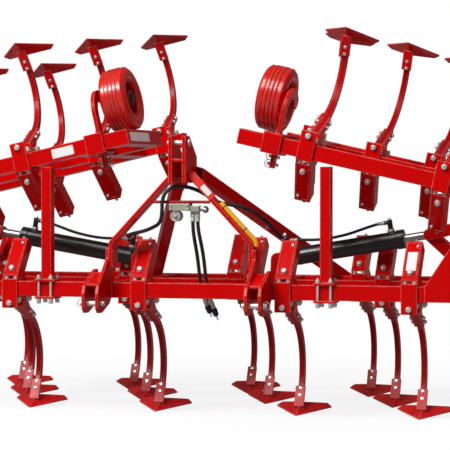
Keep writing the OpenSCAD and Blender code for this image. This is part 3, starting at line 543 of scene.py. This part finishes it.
def makeSupplyHose(name, node, route):
    points = [frontPoint(p) for p in route]
    hose = makeHose(name, points, hoseDims["supply"], "frame", node)
    ends = makeFerrules(name, points, hoseDims["supply"], "frame")
    metal, caps = bmesh.new(), bmesh.new()
    addCoupler(metal, caps, points[-1], points[-2])
    body = finishPiece(metal, name + "Coupler", "zincPlate", "frame")
    cap = finishPiece(caps, name + "Cap", "blueCap", "frame")
    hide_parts("couplers")
    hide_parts("couplers")


def makeHeldHose(name, node, points, diameter, body):
    hose = makeHose(name, points, diameter, body, node)
    ends = makeFerrules(name, points, diameter, body)


makeSupplyHose("supplyHoseA", "supply_hose_a", supplyRouteA)
makeSupplyHose("supplyHoseB", "supply_hose_b", supplyRouteB)
makeHeldHose("crossHose", "cross_hose", [frontPoint(p) for p in crossRoute],
             hoseDims["supply"], "frame")
for side, prefix in sideNames:
    makeHeldHose(prefix + "PortHose", prefix + "_port_hose",
                 [barrelPoint(side, *p) for p in portRoute], hoseDims["port"],
                 prefix + "_barrel")
print("hoses routed")

# Springs and their rods.

tineDims = {"boxLean": 39, "boxLength": 0.250, "boxDepth": 0.076, "sheet": 0.008,
            "boxFoot": (-0.040, 0.070), "springFrom": 0.048, "coil": 0.046, "wire": 0.010,
            "turns": 8.5, "turnSteps": 14, "wireSides": 7, "seat": 0.029,
            "seatThick": 0.006, "seatSunk": 0.002, "axisGap": 0.002,
            "rod": 0.018, "rodFrom": 0.030, "rodPast": 0.028, "rodNut": 0.030,
            "rodWasher": (0.021, 0.003), "rodTip": (0.020, 0.009, 0.018, 0.0075)}


# Z up the spring box from its foot, on the spring's axis.
def alongBox():
    lean = math.radians(tineDims["boxLean"])
    off = tineDims["boxDepth"] / 2 + tineDims["axisGap"]
    y, z = tineDims["boxFoot"]
    return shift(0, y + off * math.cos(lean), z - off * math.sin(lean)) \
        @ turned(-tineDims["boxLean"], "X")


# The front face of a tine's spring box, Y up the box and Z outwards.
def boxFront(place):
    return place @ shift(0, *tineDims["boxFoot"]) @ turned(90 - tineDims["boxLean"], "X")


def addSpring(mesh, matrix):
    d = tineDims
    start, end = d["springFrom"], d["boxLength"] - d["sheet"]
    steps = int(d["turns"] * d["turnSteps"])
    rise = end - start - d["wire"] - d["seatThick"]
    seat = matrix @ shift(z=start + (d["wire"] + d["seatThick"]) / 2)
    loop = bmesh.ops.create_circle(mesh, cap_ends=True, segments=d["wireSides"],
                                   radius=d["wire"] / 2,
                                   matrix=seat @ shift(d["coil"] / 2) @ turned(90, "X"))
    faces = {f for v in loop["verts"] for f in v.link_faces}
    edges = {e for v in loop["verts"] for e in v.link_edges}
    axis = matrix.to_3x3() @ Vector((0, 0, 1))
    bmesh.ops.spin(mesh, geom=list(loop["verts"]) + list(edges) + list(faces),
                   cent=seat.translation, axis=axis, dvec=axis * (rise / steps),
                   angle=math.radians(360 * d["turns"]), steps=steps)
    for z in (start - d["seatSunk"], end - d["seatThick"]):
        addDisc(mesh, matrix @ shift(z=z), d["seat"], d["seatThick"], 18)


def addSpringRod(mesh, matrix):
    d = tineDims
    length, low = d["boxLength"], d["rodFrom"]
    washer, washerThick = d["rodWasher"]
    tipFrom, tip, tipLong, tipTop = d["rodTip"]
    addDisc(mesh, matrix @ shift(z=low), d["rod"] / 2, length - low + d["rodPast"], 12)
    addDisc(mesh, matrix @ shift(z=length), washer, washerThick, 18)
    addBolt(mesh, matrix @ shift(z=length + washerThick), d["rodNut"], 0.0, False)
    addDisc(mesh, matrix @ shift(z=length + tipFrom), tip, tipLong, 12, tipTop)


tineGroups = (("centre", centreTines, 0, "frame"), ("rightWing", rightTines, 1, "right_wing"),
              ("leftWing", leftTines, -1, "left_wing"))


# One piece for each tine group, with a part at each of its tines.
def makeTineParts(suffix, finish, addPart):
    for name, table, side, body in tineGroups:
        mesh = bmesh.new()
        for place in tinePlaces(table, side):
            addPart(mesh, place)
        finishPiece(mesh, name + suffix, finish, body)


def makeSprings(name, table, side, body, standsFor):
    coils, rods = bmesh.new(), bmesh.new()
    for place in tinePlaces(table, side):
        addSpring(coils, place @ alongBox())
        addSpringRod(rods, place @ alongBox())
    coil = finishPiece(coils, name + "Coils", "springBlack", body, 60)
    rod = finishPiece(rods, name + "SpringRods", "zincPlate", body)
    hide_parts(standsFor)
    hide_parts(standsFor)


for group, standsFor in zip(tineGroups, ("centre_springs", "right_springs", "left_springs")):
    makeSprings(*group, standsFor)
print("springs wound")

# Pressed rims on the spring boxes' fronts.

rimDims = {"width": 0.084, "edge": 0.0045, "rim": 0.007, "raise": 0.003, "sunk": 0.0005,
           "from": 0.022, "to": 0.240}


def addBoxRim(mesh, place):
    d = rimDims
    face = boxFront(place) @ shift(z=d["raise"] / 2 - d["sunk"])
    half = d["width"] / 2 - d["edge"] - d["rim"] / 2
    middle, length = (d["from"] + d["to"]) / 2, d["to"] - d["from"]
    for across in (-half, half):
        addBlock(mesh, face @ shift(across, middle), (d["rim"], length, d["raise"]))
    addBlock(mesh, face @ shift(0, d["to"] - d["rim"] / 2),
             (2 * half - d["rim"], d["rim"], d["raise"]))


makeTineParts("BoxRims", "redPaint", addBoxRim)
print("box rims pressed")

# Bolts of the tine modules.

slope = math.radians(25)
slopeDown = Vector((0, math.cos(slope), -math.sin(slope)))
slopeUp = Vector((0, math.sin(slope), math.cos(slope)))
shankStart = Vector((0, 0.250, -0.165))
bowEnd = Vector((0, 0.383, -0.530))
tineBolts = {
    "box": ((0.045, 0.0, 0.026), (0.215, 0.022, 0.014)),
    "clamp": 0.024, "clampX": 0.026, "clampY": 0.024, "clampReach": 0.052,
    "clampStubs": (0.010, 0.012),
    "tabY": 0.048, "tabZ": -0.078, "tabRod": (0.010, 0.106), "tabHead": 0.028,
    "tabNut": (0.026, 0.008),
    "pivot": 0.030, "pivotBack": 0.178, "pivotUp": 0.034, "pivotReach": 0.042,
    "holder": 0.019, "holderBack": (0.020, 0.075), "holderReach": 0.026, "nutStub": 0.006,
    "share": 0.017, "shareDown": (0.012, 0.052), "shareHead": (0.0245, 0.010, 0.0035, 0.008),
    "shareNut": (0.015, 0.010),
}


def addTineBolts(mesh, place):
    d = tineBolts
    lean = math.radians(tineDims["boxLean"])
    boxOut = Vector((0, -math.cos(lean), math.sin(lean)))
    boxUp = Vector((0, math.sin(lean), math.cos(lean)))
    foot = Vector((0, *tineDims["boxFoot"]))
    for along, across, width in d["box"]:
        spot = foot + boxUp * along + Vector((across, 0, 0))
        addBolt(mesh, place @ seatAt(spot, boxOut), width)
    for x in (-d["clampX"], d["clampX"]):
        for end, stub in zip((1, -1), d["clampStubs"]):
            addBolt(mesh, place @ shift(x, -end * d["clampY"], end * d["clampReach"])
                    @ facing((0, 0, end)), d["clamp"], stub)
    tab = place @ shift(0, -d["tabY"], d["tabZ"])
    addDisc(mesh, tab @ facing((0, 1, 0)), *d["tabRod"], 12)
    addBolt(mesh, tab @ facing((0, -1, 0)), d["tabHead"])
    addBolt(mesh, place @ shift(0, d["tabY"], d["tabZ"]) @ facing((0, 1, 0)), *d["tabNut"])
    pivot = shankStart - slopeDown * d["pivotBack"] + slopeUp * d["pivotUp"]
    for side in (-1, 1):
        across, stub = Vector((side, 0, 0)), d["nutStub"] if side > 0 else 0.0
        addBolt(mesh, place @ seatAt(pivot + across * d["pivotReach"], across), d["pivot"], stub)
        for along in d["holderBack"]:
            spot = shankStart - slopeDown * along + across * d["holderReach"]
            addBolt(mesh, place @ seatAt(spot, across), d["holder"], stub)
    headOut, headWide, headThick, headTop = d["shareHead"]
    nutBack, nutStub = d["shareNut"]
    for along in d["shareDown"]:
        spot = bowEnd - slopeUp * along
        addDisc(mesh, place @ seatAt(spot - slopeDown * headOut, -slopeDown), headWide,
                headThick, 14, headTop)
        addBolt(mesh, place @ seatAt(spot + slopeDown * nutBack, slopeDown), d["share"],
                nutStub)


makeTineParts("TineBolts", "zincPlate", addTineBolts)
print("tine bolts set")

# Gauge wheels.

# The wall runs from the bead to the shoulder: radius, and depth in from the side.
wheelDims = {"tread": 0.175, "half": 0.075, "shoulder": 0.020, "ribs": 5, "groove": 0.008,
             "grooveWidth": 0.007, "grooveSlope": 0.001, "outerDrop": 0.003, "steps": 72,
             "wall": ((0.100, 0.018), (0.108, 0.006), (0.128, 0.0), (0.146, 0.001),
                      (0.158, 0.006), (0.168, 0.016)),
             "hub": ((0.057, 0.036, 0.007, 28, 0.032), (0.064, 0.022, 0.006, 20, 0.016)),
             "studs": 5, "studPlace": (0.066, 0, 0.006), "stud": (0.017, 0.006)}


# Radius and height of the tyre's section, from bead to bead.
def tyreProfile():
    d = wheelDims
    half, tread, last = d["half"], d["tread"], d["ribs"] - 1
    points = [(radius, -half + depth) for radius, depth in d["wall"]]
    width = 2 * (half - d["shoulder"])
    rib, floor = width / d["ribs"], tread - d["groove"]
    for i in range(d["ribs"]):
        low = -width / 2 + i * rib + (d["grooveWidth"] / 2 if i else 0)
        high = -width / 2 + (i + 1) * rib - (d["grooveWidth"] / 2 if i < last else 0)
        crown = tread - (d["outerDrop"] if i in (0, last) else 0.0)
        points += [(crown, low), (crown, high)]
        if i < last:
            points += [(floor, high + d["grooveSlope"]),
                       (floor, high + d["grooveWidth"] - d["grooveSlope"])]
    return points + [(radius, half - depth) for radius, depth in reversed(d["wall"])]


# Turns a closed profile of (radius, height) points about local Z.
def addTurned(mesh, matrix, points, steps):
    verts = [mesh.verts.new(matrix @ Vector((r, 0, h))) for r, h in points]
    edges = [mesh.edges.new(pair) for pair in zip(verts, verts[1:] + verts[:1])]
    spinRound(mesh, matrix, verts + edges, steps)


for side, prefix in sideNames:
    place, body = onWing(side, *layout["wheel"]) @ turned(side * 90, "Y"), prefix + "_wheel"
    tyre, hub, studs = bmesh.new(), bmesh.new(), bmesh.new()
    addTurned(tyre, place, tyreProfile(), wheelDims["steps"])
    tyreObject = finishPiece(tyre, prefix + "Tyre", "wheelRed", body, 40)
    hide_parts(prefix + "_tyre")
    for height, *shape in wheelDims["hub"]:
        addDisc(hub, place @ shift(z=height), *shape)
    finishPiece(hub, prefix + "HubCap", "blackEnamel", body)
    for i in range(wheelDims["studs"]):
        spot = place @ turned(360 / wheelDims["studs"] * i, "Z")
        addBolt(studs, spot @ shift(*wheelDims["studPlace"]), *wheelDims["stud"])
    finishPiece(studs, prefix + "WheelBolts", "zincPlate", body)
print("wheels done")

# Fold cylinders.

cylinderDims = {"collars": (0.042, 0.120, 0.688), "collar": 0.0475, "collarWire": 0.006,
                "gland": (0.6985, 0.036, 0.005, 28, 0.032),
                "posts": ((0.054, 0.112), (0.631, 0.100)), "postPast": 0.012,
                "foot": (0.0203, 0.014, 6), "cap": (0.014, 0.003, 20, 0.011),
                "plug": 0.014, "plugFrom": 0.002}
for side, prefix in sideNames:
    place, c = cylinderPlace(side), cylinderDims
    collars, fittings = bmesh.new(), bmesh.new()
    for along in c["collars"]:
        addRing(collars, place @ shift(z=along), c["collar"], c["collarWire"], 36)
    glandFrom, *gland = c["gland"]
    addDisc(fittings, place @ shift(z=glandFrom), *gland)
    for along, top in c["posts"]:
        low = barrelPoint(side, along, c["collar"])
        high = barrelPoint(side, along, top + c["postPast"])
        way = (high - low).normalized()
        addDisc(fittings, seatAt(low, way), *c["foot"])
        addDisc(fittings, seatAt(high, way), *c["cap"])
        addBolt(fittings, seatAt(high + way * c["plugFrom"], way), c["plug"], 0.0, False)
    finishPiece(collars, prefix + "Collars", "blackEnamel", prefix + "_barrel")
    finishPiece(fittings, prefix + "PortFittings", "zincPlate", prefix + "_barrel")
print("cylinders fitted")

# Linch pins of the lower hitch and bolts of the hinge pins.

boltPlaces = {"linchOut": 0.060, "linch": (0.004, 0.048), "linchRing": (0.022, 0.004, 24),
              "hinge": 0.030, "hingeOut": 0.062}
frameSmall = bmesh.new()
for side in (-1, 1):
    x, y, z = layout["hitch"]
    linch = atFront(side * x, y, z) @ facing((side, 0, 0)) @ shift(z=boltPlaces["linchOut"])
    radius, length = boltPlaces["linch"]
    addDisc(frameSmall, linch @ shift(-length / 2) @ facing((1, 0, 0)), radius, length, 8)
    addRing(frameSmall, linch @ turned(90, "Y"), *boltPlaces["linchRing"])
    for y in layout["hingeYs"]:
        for face in (-1, 1):
            seat = atFront(side * layout["hingeX"], y + face * boltPlaces["hingeOut"],
                           layout["hingeZ"]) @ facing((0, face, 0))
            addBolt(frameSmall, seat, boltPlaces["hinge"])
finishPiece(frameSmall, "frameBolts", "zincPlate", "frame")
print("frame bolts set")

# Valve block fittings and the hose's clip.

valveDims = {"front": -0.060, "screwX": 0.044, "screwZs": (1.098, 1.118), "screw": 0.009,
             "spool": (-0.022, -0.053, 1.062), "spoolRim": (0.0235, 0.005, 32),
             "spoolNut": (0.016, 0.003),
             "elbow": (0.105, -0.030, 1.100), "elbowNut": (0.012, 0.010, 6),
             "elbowTube": (0.0085, 0.012, 16), "eye": (0.134, -0.030, 1.0965),
             "eyeRing": (0.014, 0.009, 28, 8), "eyeBolt": (0.0085, 0.016, 16),
             "eyeHalf": 0.008, "clip": (-0.0905, -0.0590, 1.135),
             "clipRing": (0.0115, 0.006, 28), "clipFoot": (-0.0905, -0.042, 1.135),
             "clipFootSize": (0.020, 0.016, 0.012)}


def makeValveFittings():
    d, iron, dark = valveDims, bmesh.new(), bmesh.new()
    toFront = facing((0, -1, 0))
    for x in (-d["screwX"], d["screwX"]):
        for z in d["screwZs"]:
            addBolt(iron, atFront(x, d["front"], z) @ toFront, d["screw"], 0.0, False)
    spool = atFront(*d["spool"]) @ toFront
    addRing(iron, spool, *d["spoolRim"])
    addBolt(iron, spool, *d["spoolNut"])
    elbow = atFront(*d["elbow"]) @ facing((1, 0, 0))
    addDisc(iron, elbow, *d["elbowNut"])
    addDisc(iron, elbow @ shift(z=d["elbowNut"][1]), *d["elbowTube"])
    eye = atFront(*d["eye"]) @ toFront
    addRing(dark, eye, *d["eyeRing"])
    addDisc(iron, eye @ shift(z=-d["eyeHalf"]), *d["eyeBolt"])
    addRing(dark, atFront(*d["clip"]), *d["clipRing"])
    addBlock(dark, atFront(*d["clipFoot"]), d["clipFootSize"])
    finishPiece(iron, "valveFittings", "zincPlate", "frame")
    finishPiece(dark, "valveElbow", "plugBlack", "frame")


makeValveFittings()
print("valve fittings set")

# Blank plates.

# Sizes are width, height and, where it isn't the usual one, thickness.
plateDims = {"thick": 0.0012, "corner": 0.006, "stickerX": 2.400, "sticker": (0.125, 0.050),
             "tipY": 0.210, "tip": (0.050, 0.330), "strutY": -0.0455,
             "strutPlace": (0.118, 0.0035), "strut": (0.170, 0.044, 0.002),
             "labelPlace": (0.138, 0.0045), "label": (0.062, 0.030, 0.0008),
             "boxX": 1.200, "boxUp": 0.120, "box": (0.052, 0.120)}


# Thin plate with rounded corners that lies on the matrix's XY plane.
def addPlate(mesh, matrix, width, height, thick=plateDims["thick"]):
    corner = plateDims["corner"]
    outline = []
    for i, (sx, sy) in enumerate(((1, 1), (-1, 1), (-1, -1), (1, -1))):
        for k in range(4):
            turn = math.radians(90 * i + 30 * k)
            outline.append((sx * (width / 2 - corner) + corner * math.cos(turn),
                            sy * (height / 2 - corner) + corner * math.sin(turn)))
    low = [mesh.verts.new(matrix @ Vector((x, y, 0.0))) for x, y in outline]
    high = [mesh.verts.new(matrix @ Vector((x, y, thick))) for x, y in outline]
    mesh.faces.new(low[::-1])
    mesh.faces.new(high)
    for i in range(len(outline)):
        k = (i + 1) % len(outline)
        mesh.faces.new((low[i], low[k], high[k], high[i]))


(headX, headZ), (footX, footZ) = layout["strutHead"], layout["strutFoot"]
strutFall = math.atan2(headZ - footZ, footX - headX)


# The top face of the right front strut, X down the slope and Z outwards.
def strutTop(x, y):
    return atFront(x, y, headZ - (x - headX) * math.tan(strutFall)) \
        @ Matrix.Rotation(strutFall, 4, "Y")


# Its front edge, X down the slope and Z to the front.
def strutFront(x, up):
    return strutTop(x, plateDims["strutY"]) @ turned(90, "X") @ shift(y=up)


def makePlates():
    d = plateDims
    labels, strutPlate, frameLabels = bmesh.new(), bmesh.new(), bmesh.new()
    beamZ = layout["beamZ"]
    addPlate(labels, onWing(-1, d["stickerX"], 0, beamZ) @ turned(90, "X"), *d["sticker"])
    addPlate(labels, onWing(-1, layout["wingTip"], d["tipY"], beamZ) @ turned(-90, "Y"),
             *d["tip"])
    finishPiece(labels, "wingLabels", "paleLabel", "left_wing")
    addPlate(strutPlate, strutFront(*d["strutPlace"]), *d["strut"])
    finishPiece(strutPlate, "strutPlate", "pinkPlate", "frame")
    addPlate(frameLabels, strutFront(*d["labelPlace"]) @ shift(z=d["strut"][2]), *d["label"])
    box = boxFront(atFront(d["boxX"], layout["halfBeam"], layout["beamZ"]))
    addPlate(frameLabels, box @ shift(y=d["boxUp"]), *d["box"])
    finishPiece(frameLabels, "frameLabels", "paleLabel", "frame")


makePlates()
print("blank plates laid")

# Yellow sleeve along the right strut.

sleeveDims = {"radius": 0.013, "y": -0.022, "lift": 0.001, "rounds": 4, "steps": 6,
              "straight": (0.205, 0.245, 0.285, 0.325, 0.355),
              "bend": ((0.385, 0.951), (0.401, 0.930), (0.405, 0.905)),
              "bands": (0.225, 0.335), "band": (0.0035, 24)}


def makeSleeve():
    d = sleeveDims
    lift = d["radius"] + d["lift"]
    places = [strutTop(x, d["y"]) @ Vector((0, 0, lift)) for x in d["straight"]]
    places += [frontPoint((x, d["y"], z)) for x, z in d["bend"]]
    obj = makeTube("strutSleeve", places, d["radius"], "yellowSleeve", d["rounds"], d["steps"])
    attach(obj, "frame")
    bands = bmesh.new()
    for x in d["bands"]:
        addRing(bands, strutTop(x, d["y"]) @ shift(z=lift) @ turned(90, "Y"), lift, *d["band"])
    finishPiece(bands, "sleeveClips", "plugBlack", "frame")


makeSleeve()
print("sleeve laid")

# Welds.

weldDims = {"radius": 0.004, "step": 0.009, "sides": 5, "swell": 0.16, "ripple": 2.1,
            "end": 0.45, "rails": (-1.340, -0.380, 0.380, 1.340), "railHalf": 0.030,
            "inset": 0.002, "hingePlate": 0.012, "strutYs": (-0.045, 0.045),
            "strutZs": (0.846, 0.886), "hitchXs": (0.390, 0.406, 0.464, 0.480),
            "hitchZs": (0.634, 0.706), "headHalf": 0.043, "headY": -0.045, "headLow": 1.264}


# A rippled bead from one point to another, both measured from the front beam's face.
def addWeld(mesh, start, end):
    d = weldDims
    start, end = frontPoint(start), frontPoint(end)
    run = end - start
    count = max(2, int(run.length / d["step"]))
    seat = seatAt(start, run.normalized())
    rings = []
    for i in range(count + 1):
        swell = 1.0 + d["swell"] * math.sin(i * d["ripple"]) if 0 < i < count else d["end"]
        radius, height = d["radius"] * swell, run.length * i / count
        turns = [2 * math.pi * k / d["sides"] for k in range(d["sides"])]
        rings.append([mesh.verts.new(seat @ Vector((radius * math.cos(turn),
                                                    radius * math.sin(turn), height)))
                      for turn in turns])
    for low, high in zip(rings, rings[1:]):
        for k in range(len(low)):
            n = (k + 1) % len(low)
            mesh.faces.new((low[k], low[n], high[n], high[k]))
    mesh.faces.new(rings[0][::-1])
    mesh.faces.new(rings[-1])


# Both upright and both level corners where a rail butts a cross beam.
def addRailWelds(mesh, x, y):
    half, mid = weldDims["railHalf"], layout["beamZ"]
    deep = layout["halfBeam"] - weldDims["inset"]
    for side in (-1, 1):
        addWeld(mesh, (x + side * half, y, mid - deep), (x + side * half, y, mid + deep))
        addWeld(mesh, (x - half, y, mid + side * deep), (x + half, y, mid + side * deep))


def makeWelds():
    d, welds = weldDims, bmesh.new()
    for x in d["rails"]:
        for row in range(2):
            low = row * layout["rowGap"] + 2 * layout["halfBeam"]
            if row == 0 and abs(x) > 1.0:
                low += d["hingePlate"]
            addRailWelds(welds, x, low)
            addRailWelds(welds, x, (row + 1) * layout["rowGap"])
    for side in (-1, 1):
        foot, head = side * footX, side * headX
        for y in d["strutYs"]:
            addWeld(welds, (foot, y, d["strutZs"][0]), (foot, y, d["strutZs"][1]))
        for x in d["hitchXs"]:
            addWeld(welds, (side * x, 0.0, d["hitchZs"][0]), (side * x, 0.0, d["hitchZs"][1]))
        addWeld(welds, (head, -d["headHalf"], headZ), (head, d["headHalf"], headZ))
        addWeld(welds, (head, d["headY"], d["headLow"]), (head, d["headY"], headZ))
    finishPiece(welds, "frameWelds", "redPaint", "frame", 60)


makeWelds()
print("welds laid")

# U-bolts, beam plugs and arm pins.

uBoltDims = {"wire": 0.014, "reach": 0.034, "ys": (-0.010, 0.090), "foot": 0.600,
             "length": 0.136, "nut": 0.021, "lowNuts": ((0.617, True), (0.605, False)),
             "topNut": 0.7225, "stub": 0.010}
plugDims = {"size": 0.078, "thick": 0.004, "sunk": 0.001, "centreYs": (0.600, 1.120)}
armPinDims = {"x": 2.585, "y": 0.116, "holes": (0.740, 0.780), "pin": (0.0085, 0.060, 14),
              "half": 0.030, "washer": (0.013, 0.003, 18), "washerZs": (0.012, -0.015),
              "ringFrom": 0.024, "ring": (0.020, 0.004, 22)}


def addPlug(mesh, seat):
    d = plugDims
    addPlate(mesh, seat @ shift(z=-d["sunk"]), d["size"], d["size"], d["thick"])


frameIron, caps = bmesh.new(), bmesh.new()
for side in (-1, 1):
    for aside in (-uBoltDims["reach"], uBoltDims["reach"]):
        for y in uBoltDims["ys"]:
            d, x = uBoltDims, side * layout["restX"] + aside
            addDisc(frameIron, atFront(x, y, d["foot"]), d["wire"] / 2, d["length"], 12)
            for z, washer in d["lowNuts"]:
                addBolt(frameIron, atFront(x, y, z) @ facing((0, 0, -1)), d["nut"], 0.0,
                        washer)
            addBolt(frameIron, atFront(x, y, d["topNut"]), d["nut"], d["stub"])
    for y in plugDims["centreYs"]:
        addPlug(caps, atFront(side * layout["centreHalf"], y, layout["beamZ"])
                @ facing((side, 0, 0)))
finishPiece(frameIron, "restUBolts", "zincPlate", "frame")
finishPiece(caps, "beamPlugs", "plugBlack", "frame")
for side, prefix in sideNames:
    plugs, pins, d = bmesh.new(), bmesh.new(), armPinDims
    for row in range(3):
        y = row * layout["rowGap"] + layout["halfBeam"]
        addPlug(plugs, onWing(side, layout["wingRoot"], y, layout["beamZ"])
                @ facing((-side, 0, 0)))
    finishPiece(plugs, prefix + "BeamPlugs", "plugBlack", prefix + "_wing")
    for z in d["holes"]:
        seat = onWing(side, d["x"], d["y"], z) @ facing((side, 0, 0))
        addDisc(pins, seat @ shift(z=-d["half"]), *d["pin"])
        for washerZ in d["washerZs"]:
            addDisc(pins, seat @ shift(z=washerZ), *d["washer"])
        addRing(pins, seat @ shift(z=d["ringFrom"]) @ turned(90, "Y"), *d["ring"])
    finishPiece(pins, prefix + "ArmPins", "zincPlate", prefix + "_wing")
print("pins and caps set")

# Floor and light.

stageDims = {"size": 60.0, "sunk": 0.0005, "rough": 0.9, "fadeFrom": 1.6, "fadeTo": 4.5,
             "seen": 0.93, "bounce": 0.34, "glow": 0.80, "world": 0.26, "mirrored": 0.10,
             "softSun": (1.72, (-0.46, -0.85, 0.80), 14, True),
             "backSun": (0.9, (0.25, 0.85, 0.45), 40, False),
             "box": 300.0, "boxPlace": (-1.5, -4.5, 6.5), "boxSize": 3.2,
             "boxLooksAt": (0, 0, 1.0)}


# White to the camera, grey to the light that bounces off it.
def makeFloor():
    d, mesh = stageDims, bmesh.new()
    bmesh.ops.create_grid(mesh, x_segments=1, y_segments=1, size=d["size"],
                          matrix=shift(z=-d["sunk"]))
    material, tree, shader = newMaterial("floorWhite")
    shader.inputs["Roughness"].default_value = d["rough"]
    shader.inputs["Specular IOR Level"].default_value = 0.0
    place = tree.nodes.new("ShaderNodeTexCoord").outputs["Object"]
    length = tree.nodes.new("ShaderNodeVectorMath")
    length.operation = "LENGTH"
    tree.links.new(place, length.inputs[0])
    away = rangeNode(tree, length.outputs["Value"], d["fadeFrom"], d["fadeTo"])
    seen = tree.nodes.new("ShaderNodeLightPath").outputs["Is Camera Ray"]
    tree.links.new(mixColour(tree, seen, (*[d["bounce"]] * 3, 1), (*[d["seen"]] * 3, 1)),
                   shader.inputs["Base Color"])
    glow = tree.nodes.new("ShaderNodeEmission")
    mix = tree.nodes.new("ShaderNodeMixShader")
    away = rangeNode(tree, away, 0.0, 1.0, d["glow"], 1.0)
    tree.links.new(mathNode(tree, "MULTIPLY", away, seen), mix.inputs[0])
    tree.links.new(shader.outputs[0], mix.inputs[1])
    tree.links.new(glow.outputs[0], mix.inputs[2])
    tree.links.new(mix.outputs[0], tree.nodes["Material Output"].inputs["Surface"])
    floor = linkMesh(mesh, "studioFloor", material)


# White to the camera, dim to reflections and soft to everything else.
def makeWorld():
    world = bpy.data.worlds.new("studio")
    scene.world = world
    world.use_nodes = True
    tree = world.node_tree
    tree.nodes.clear()
    path = tree.nodes.new("ShaderNodeLightPath")
    seen = path.outputs["Is Camera Ray"]
    soft = tree.nodes.new("ShaderNodeBackground")
    tree.links.new(rangeNode(tree, path.outputs["Is Glossy Ray"], 0.0, 1.0,
                             stageDims["world"], stageDims["mirrored"]),
                   soft.inputs["Strength"])
    white = tree.nodes.new("ShaderNodeBackground")
    for node in (soft, white):
        node.inputs["Color"].default_value = (1, 1, 1, 1)
    mix = tree.nodes.new("ShaderNodeMixShader")
    tree.links.new(seen, mix.inputs[0])
    tree.links.new(soft.outputs[0], mix.inputs[1])
    tree.links.new(white.outputs[0], mix.inputs[2])
    out = tree.nodes.new("ShaderNodeOutputWorld")
    tree.links.new(mix.outputs[0], out.inputs["Surface"])


# Energy, where it shines from, softness in degrees, and whether it shows in reflections.
def makeSun(name):
    energy, source, soft, mirrored = stageDims[name]
    data = bpy.data.lights.new(name, "SUN")
    data.energy = energy
    data.angle = math.radians(soft)
    sun = bpy.data.objects.new(name, data)
    sun.rotation_euler = Vector(source).to_track_quat("Z", "Y").to_euler()
    sun.visible_glossy = mirrored
    scene.collection.objects.link(sun)


def makeSoftBox():
    data = bpy.data.lights.new("softBox", "AREA")
    data.shape = "SQUARE"
    data.size = stageDims["boxSize"]
    data.energy = stageDims["box"]
    box = bpy.data.objects.new("softBox", data)
    box.location = stageDims["boxPlace"]
    look = Vector(stageDims["boxLooksAt"]) - Vector(stageDims["boxPlace"])
    box.rotation_euler = look.to_track_quat("-Z", "Y").to_euler()
    scene.collection.objects.link(box)


makeFloor()
makeWorld()
makeSun("softSun")
makeSun("backSun")
makeSoftBox()
print("stage lit")
